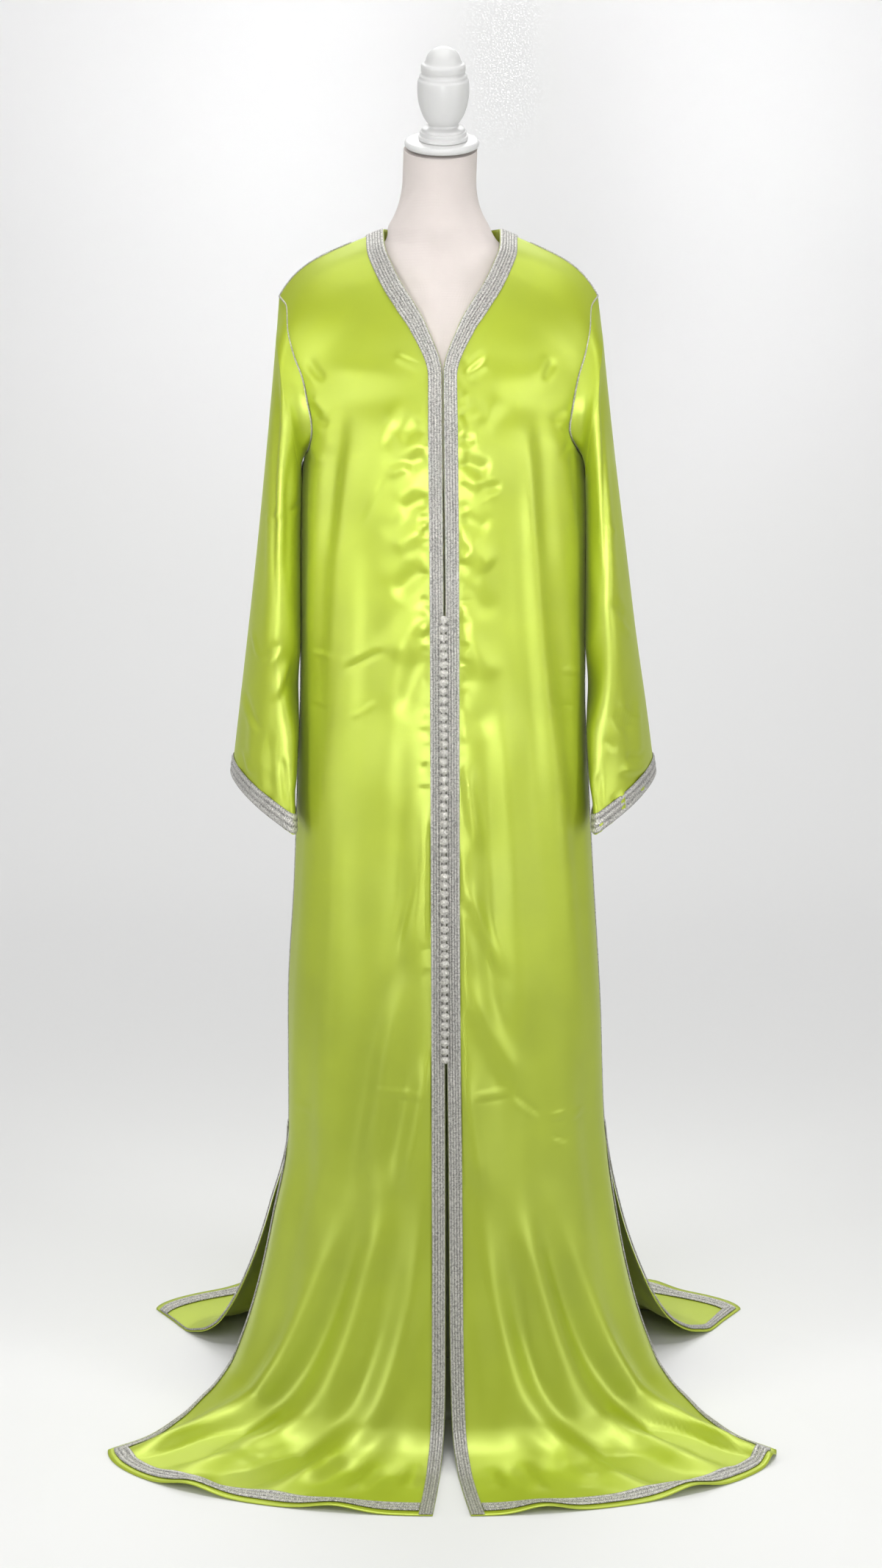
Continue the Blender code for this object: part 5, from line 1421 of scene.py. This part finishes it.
def backdrop(colour):
    """A floor that curves up into a wall. It is clear from its back, so that the garment
    shows from behind."""
    half, depth, height, bend = 7.0, 3.2, 5.0, 1.2
    angle = np.linspace(0, 0.5 * math.pi, 24)
    outline_y = np.concatenate([[-half], depth - bend + bend * np.sin(angle), [depth]])
    outline_z = np.concatenate([[0.0], bend - bend * np.cos(angle), [height]])
    points = [(x, y, z) for y, z in zip(outline_y, outline_z) for x in (-half, half)]
    faces = [(2 * i, 2 * i + 1, 2 * i + 3, 2 * i + 2) for i in range(len(outline_y) - 1)]
    paper, tree, shader = new_material("backdrop paper", Base_Color=(*colour, 1.0),
                                       Roughness=0.9)
    seen_from_behind = node(tree, "ShaderNodeNewGeometry").outputs["Backfacing"]
    fill(tree, shader, {"Alpha": maths(tree, "SUBTRACT", 1.0, seen_from_behind)})
    new_piece("backdrop", points, faces, [paper])


def soft_world():
    """Even light from all round, which the camera sees as paler."""
    world = bpy.data.worlds.new("soft light")
    world.use_nodes = True
    tree = world.node_tree
    seen = node(tree, "ShaderNodeLightPath").outputs["Is Camera Ray"]
    paler = maths(tree, "MULTIPLY", seen, WORLD_PALER)
    light = maths(tree, "ADD", paler, WORLD_LIGHT)
    fill(tree, tree.nodes["Background"], {"Color": (1.0, 1.0, 1.0, 1.0), "Strength": light})
    return world


# ---------------------------------------------------------------- operators


class KAFTAN_OT_stage(bpy.types.Operator):
    """Makes a pale floor and backdrop, soft lights and the camera."""

    bl_idname = "kaftan.stage"
    bl_label = "Stage"

    def execute(self, context):
        scene, settings = context.scene, context.scene.kaftan_stage
        backdrop(settings.floor)
        scene.world = soft_world()
        for name, light in LIGHTS.items():
            area_light(name, *light)
        data = bpy.data.cameras.new("camera")
        data.sensor_fit, data.sensor_height = "VERTICAL", 36.0
        data.lens = settings.camera_lens
        camera = bpy.data.objects.new("camera", data)
        camera.location = (CAMERA_SIDE, -settings.camera_away, settings.camera_height)
        camera.rotation_euler = (math.radians(90) - settings.camera_tilt, 0.0, 0.0)
        scene.collection.objects.link(camera)
        scene.camera = camera
        scene.view_settings.view_transform = "Standard"
        return {"FINISHED"}


class KAFTAN_OT_form(bpy.types.Operator):
    """Makes the padded form in its linen cover."""

    bl_idname = "kaftan.form"
    bl_label = "Form"

    def execute(self, context):
        rows = np.linspace(0, len(FORM) - 1, FORM_ROWS)
        angle = np.linspace(0, 2 * math.pi, FORM_SIDES, endpoint=False)
        ring = between(FORM, rows[:, None] + 0 * angle)
        across, along = np.sin(angle), -np.cos(angle)
        power = 2 / ring.square
        x = np.copysign(abs(across) ** power, across) * ring.half_width + ring.middle
        y = np.copysign(abs(along) ** power, along) * np.where(along < 0, -ring.front, ring.back)
        z = ring.z + y * math.tan(CAP_TILT) * ring.lean
        points = stacked(x, y, z)
        out = unit(stacked(x, y, 0.0))
        points = points + out * crease_height(FORM_CREASES, points, out)[..., None]
        last = (FORM_ROWS - 1) * FORM_SIDES
        faces = grid_faces(FORM_ROWS, FORM_SIDES, True).tolist()
        faces += [list(range(FORM_SIDES)), list(range(last, last + FORM_SIDES))]
        uv = stacked(angle * FORM_ROUND, z).reshape(-1, 2)
        piece = new_piece("linen_form", points.reshape(-1, 3), faces,
                          [materials()["cream linen"]], uv, turn=True, sharp=SHARP_FORM)
        place_on(piece, "cream_linen", "dress_form")
        return {"FINISHED"}


class KAFTAN_OT_stand(bpy.types.Operator):
    """Makes the cap, finial, pole and foot."""

    bl_idname = "kaftan.stand"
    bl_label = "Stand"

    def execute(self, context):
        lean = Matrix.Rotation(CAP_TILT, 4, "X")
        half, radius = CAP_THICK / 2, CAP_RADIUS
        cap = (
            (half, 0.0), (half, radius - 0.004), (half - 0.0006, radius - 0.0018),
            (half - 0.002, radius - 0.0006), (0.0, radius), (-half + 0.002, radius - 0.0006),
            (-half + 0.0006, radius - 0.0018), (-half, radius - 0.003), (-half, 0.0),
        )
        turned("cap_disc", cap, Matrix.Translation(CAP_CENTRE) @ lean, "neck_cap")
        top = CAP_CENTRE + lean @ Vector((FINIAL_OFF, 0.0, half + SEAM))
        turned("turned_finial", FINIAL, Matrix.Translation(top) @ lean, "finial", 5)
        high, radius = FOOT_HEIGHT, FOOT_RADIUS
        foot = (
            (high, 0.0), (high, 0.030), (high - 0.006, 0.045), (high - 0.010, radius - 0.014),
            (high - 0.014, radius - 0.003), (high - 0.018, radius), (0.0, radius), (0.0, 0.0),
        )
        turned("round_foot", foot, Matrix.Identity(4), "stand_foot")
        high, low, radius = FORM["underside"].z - SEAM, FOOT_HEIGHT + SEAM, POLE_RADIUS
        pole = (
            (high, 0.0), (high, radius - 0.001), (high - 0.001, radius),
            (low + 0.001, radius), (low, radius - 0.001), (low, 0.0),
        )
        turned("pole_tube", pole, Matrix.Identity(4), "stand_pole")
        return {"FINISHED"}


class KAFTAN_OT_fronts(bpy.types.Operator):
    """Makes the two fronts, their inner edges bound with braid."""

    bl_idname = "kaftan.fronts"
    bl_label = "Fronts"

    def execute(self, context):
        columns = np.linspace(0, 1, FRONT_COLUMNS + 1) ** INWARD
        for side, word in SIDES:
            rows = panel_rows(FRONT, partial(front_plain, side), FINE_ABOVE)
            points, out = front_cloth(side, columns, rows[:, None], CREASES[side])
            bound = np.broadcast_to(columns == 0, points.shape[:2])
            new_cloth(f"front_{word}", points, -out, bound=bound)
        return {"FINISHED"}


class KAFTAN_OT_back(bpy.types.Operator):
    """Makes the back, its neckline bound with braid."""

    bl_idname = "kaftan.back"
    bl_label = "Back"

    def execute(self, context):
        columns = np.linspace(-1, 1, BACK_COLUMNS + 1)
        rows = panel_rows(BACK, back_plain, math.inf)
        points, out = back_cloth(columns, rows[:, None], BACK_CREASES)
        bound = (rows[:, None] == 0) & (abs(columns) <= NECK_OPENING)
        new_cloth("back", points, -out, bound=bound)
        return {"FINISHED"}


class KAFTAN_OT_sleeves(bpy.types.Operator):
    """Makes the two sleeves."""

    bl_idname = "kaftan.sleeves"
    bl_label = "Sleeves"

    def execute(self, context):
        around = np.linspace(0, 1, SLEEVE_COLUMNS, endpoint=False)
        rows = np.concatenate([np.linspace(0, 1, CAP_ROWS)[:-1],
                               np.linspace(1, len(SLEEVE), ARM_ROWS)])
        share = ease(rows / CAP_FADE)[:, None, None]
        for side, word in SIDES:
            points, out = sleeve_cloth(side, around, rows[:, None], ARM_CREASES[side])
            through = sleeve_start(side, around)[1]
            ways_in = unit(through * (1 - share) - out * share)
            new_cloth(f"sleeve_{word}", points, ways_in, closed=True)
        return {"FINISHED"}


class KAFTAN_OT_bands(bpy.types.Operator):
    """Lays the braid round the neck and down each front edge."""

    bl_idname = "kaftan.bands"
    bl_label = "Bands"

    def execute(self, context):
        point_row = place_of(FRONT, "neck_point")
        for side, word in SIDES:
            cloth = partial(front_cloth, side)
            rows = even_places(lambda v: cloth(np.zeros_like(v), v)[0], 0.0, len(FRONT) - 1,
                               BRAID_STEP)
            width = FRONT_BAND + (NECK_BAND - FRONT_BAND) * ease((point_row - rows) / 2)
            per_metre = steps_per_metre(cloth, np.full_like(rows, 0.03), rows, 0)[:, None]
            for part, cords, keep, nodes in (
                ("neck", NECK_CORDS, rows < point_row - NECK_ENDS, ()),
                ("front", BAND_CORDS, rows > point_row - BAND_STARTS, (f"band_{word}",)),
            ):
                u = ((profile(cords)[0] * width[:, None] + BAND_OFF) * per_metre)[keep]
                base, out = cloth(u, rows[keep][:, None])
                piece = strip(f"{part}_braid_{word}", base, out, cords,
                              materials()["silver braid"])
                sew_on(f"front_{word}", piece, *nodes)
        return {"FINISHED"}


class KAFTAN_OT_edges(bpy.types.Operator):
    """Lays the braid along the hems, side slits and cuffs."""

    bl_idname = "kaftan.edges"
    bl_label = "Edge braids"

    def execute(self, context):
        hem, slit = float(len(FRONT) - 1), place_of(FRONT, "side_slit")
        for side, word in SIDES:
            cloth = partial(front_cloth, side)
            metre = steps_per_metre(cloth, np.array([0.05]), np.array([hem]), 0)[0]
            first = (FRONT_BAND + HEM_GAP) * metre
            path = edge_path(cloth, ((1, hem, first, 1.0, -1), (0, 1.0, hem, slit, -1)))
            edge_strip(f"hem_slit_braid_{word}", cloth, path, HEM_BAND, f"hem_braid_{word}",
                       f"front_{word}")

            arm = partial(sleeve_cloth, side)
            last = float(len(SLEEVE))
            around = even_places(lambda t: arm(t, np.full_like(t, last))[0], 0.0, 1.0,
                                 BRAID_STEP)[:-1]
            ones = np.ones_like(around)
            edge_strip(f"cuff_cords_{word}", arm, (around, last * ones, 0 * ones, -ones),
                       CUFF_BAND, f"cuff_braid_{word}", f"sleeve_{word}", closed=True)
        hem, slit = float(len(BACK) - 1), place_of(BACK, "side_slit")
        path = edge_path(back_cloth, ((0, -1.0, slit, hem, 1), (1, hem, -1.0, 1.0, -1),
                                      (0, 1.0, hem, slit, -1)))
        edge_strip("hem_slit_braid_back", back_cloth, path, HEM_BAND, "hem_braid_back", "back")
        return {"FINISHED"}


class KAFTAN_OT_nape(bpy.types.Operator):
    """Lays the braid round the back of the neck, square to the neckline."""

    bl_idname = "kaftan.nape"
    bl_label = "Back neck braid"

    def execute(self, context):
        turns = np.linspace(-1, 1, 200)
        turn = 0.5 * math.pi * turns
        start = back_plain(NECK_OPENING * turns, np.zeros_like(turns))
        away = stacked(np.sin(turn), np.cos(turn), -NECK_FALL)
        shares = profile(NECK_CORDS)[0]
        far = BACK_NECK_BAND[0] + (BACK_NECK_BAND[1] - BACK_NECK_BAND[0]) * shares
        target = start[:, None] + away[:, None] * far[:, None]
        across = NECK_OPENING * turns[:, None] + 0 * far
        base, out = back_cloth(*nested(target, across, np.full(across.shape, 0.1)))
        piece = strip("back_neck_braid", base, out, NECK_CORDS, materials()["silver braid"])
        sew_on("back", piece, "neck_braid_back")
        return {"FINISHED"}


class KAFTAN_OT_knots(bpy.types.Operator):
    """Ties the column of knot buttons, each held by a loop from the right band."""

    bl_idname = "kaftan.knots"
    bl_label = "Knots"

    def execute(self, context):
        rng = np.random.default_rng(SEED + 1)
        middles = front_middle(KNOT_TOP - np.arange(KNOTS) * KNOT_PITCH)
        stand = BRAID_LIFT + BRAID_BASE + KNOT_BACK
        tubes = []
        for middle in middles:
            centre = middle + np.array([KNOT_OFF + rng.uniform(-KNOT_SHIFT, KNOT_SHIFT),
                                        -stand - 0.8 * KNOT_RADIUS,
                                        rng.uniform(-KNOT_SHIFT, KNOT_SHIFT)])
            tubes += knot(centre, middle[1] - stand, rng)
        stem = middles + np.array([KNOT_OFF, -stand - 0.1 * KNOT_RADIUS, 0.0])
        tubes.append(tube(stem, KNOT_STEM, 8))
        piece = joined_tubes("knot_button_column", tubes, materials()["silver knot cord"])
        sew_on("front_right", piece, "knot_buttons")
        return {"FINISHED"}


class KAFTAN_OT_seams(bpy.types.Operator):
    """Sews the silver cord over the shoulder, armhole and side seams."""

    bl_idname = "kaftan.seams"
    bl_label = "Seams"

    def execute(self, context):
        lift = RANDA_RADIUS * RANDA_LIFT
        behind = SEAM + RANDA_BEHIND
        for side, word in SIDES:
            across = np.linspace(RANDA_FROM, 1.0, 220)
            shoulder, out = front_cloth(side, across, np.zeros_like(across))
            shoulder = shoulder + out * lift * 0.5 + np.array([0.0, behind, 0.0])
            around = even_places(lambda t, side=side: armhole(side, t)[0], 0.0, 0.999,
                                 RANDA_STEP)
            hole, hole_out = sleeve_start(side, around)[0], armhole(side, around)[1]
            hole = hole + hole_out * lift * (1 - underarm(around) * RANDA_SUNK)
            rows = even_places(
                lambda v, side=side: front_plain(side, np.ones_like(v), v),
                ARMHOLE_FRONT + 0.1, place_of(FRONT, "side_slit"), RANDA_STEP)
            seam, _ = front_cloth(side, np.ones_like(rows), rows)
            seam = seam + np.array([side * lift * 0.5, behind, 0.0])
            tubes = [tube(line, RANDA_RADIUS, RANDA_SIDES, RANDA_PITCH, RANDA_TWIST)
                     for line in (shoulder, hole, seam)]
            sew_on(f"front_{word}", joined_tubes(f"seam_cord_{word}", tubes,
                                                 materials()["silver seam cord"]))
        return {"FINISHED"}


OPERATORS = (
    KAFTAN_OT_stage, KAFTAN_OT_form, KAFTAN_OT_stand, KAFTAN_OT_fronts, KAFTAN_OT_back,
    KAFTAN_OT_sleeves, KAFTAN_OT_bands, KAFTAN_OT_edges, KAFTAN_OT_nape, KAFTAN_OT_knots,
    KAFTAN_OT_seams,
)


class KAFTAN_PT_panel(bpy.types.Panel):
    """Lists the settings and the steps that dress the kaftan."""

    bl_label = "Moroccan Kaftan"
    bl_idname = "KAFTAN_PT_panel"
    bl_space_type = "VIEW_3D"
    bl_region_type = "UI"
    bl_category = "Kaftan"

    def draw(self, context):
        for group in SETTINGS:
            settings = getattr(context.scene, group)
            for name in settings.__annotations__:
                self.layout.prop(settings, name)
        for operator in OPERATORS:
            self.layout.operator(operator.bl_idname)


SETTINGS = {
    "kaftan_looks": KaftanLooks, "kaftan_sizes": KaftanSizes, "kaftan_stage": KaftanStage,
}
CLASSES = (*SETTINGS.values(), *OPERATORS, KAFTAN_PT_panel)


def register():
    for made in CLASSES:
        bpy.utils.register_class(made)
    for name, group in SETTINGS.items():
        setattr(bpy.types.Scene, name, PointerProperty(type=group))


def unregister():
    for name in SETTINGS:
        delattr(bpy.types.Scene, name)
    for made in reversed(CLASSES):
        bpy.utils.unregister_class(made)


def main():
    register()
    for operator in OPERATORS:
        group, name = operator.bl_idname.split(".")
        getattr(getattr(bpy.ops, group), name)()


if __name__ == "__main__":
    main()
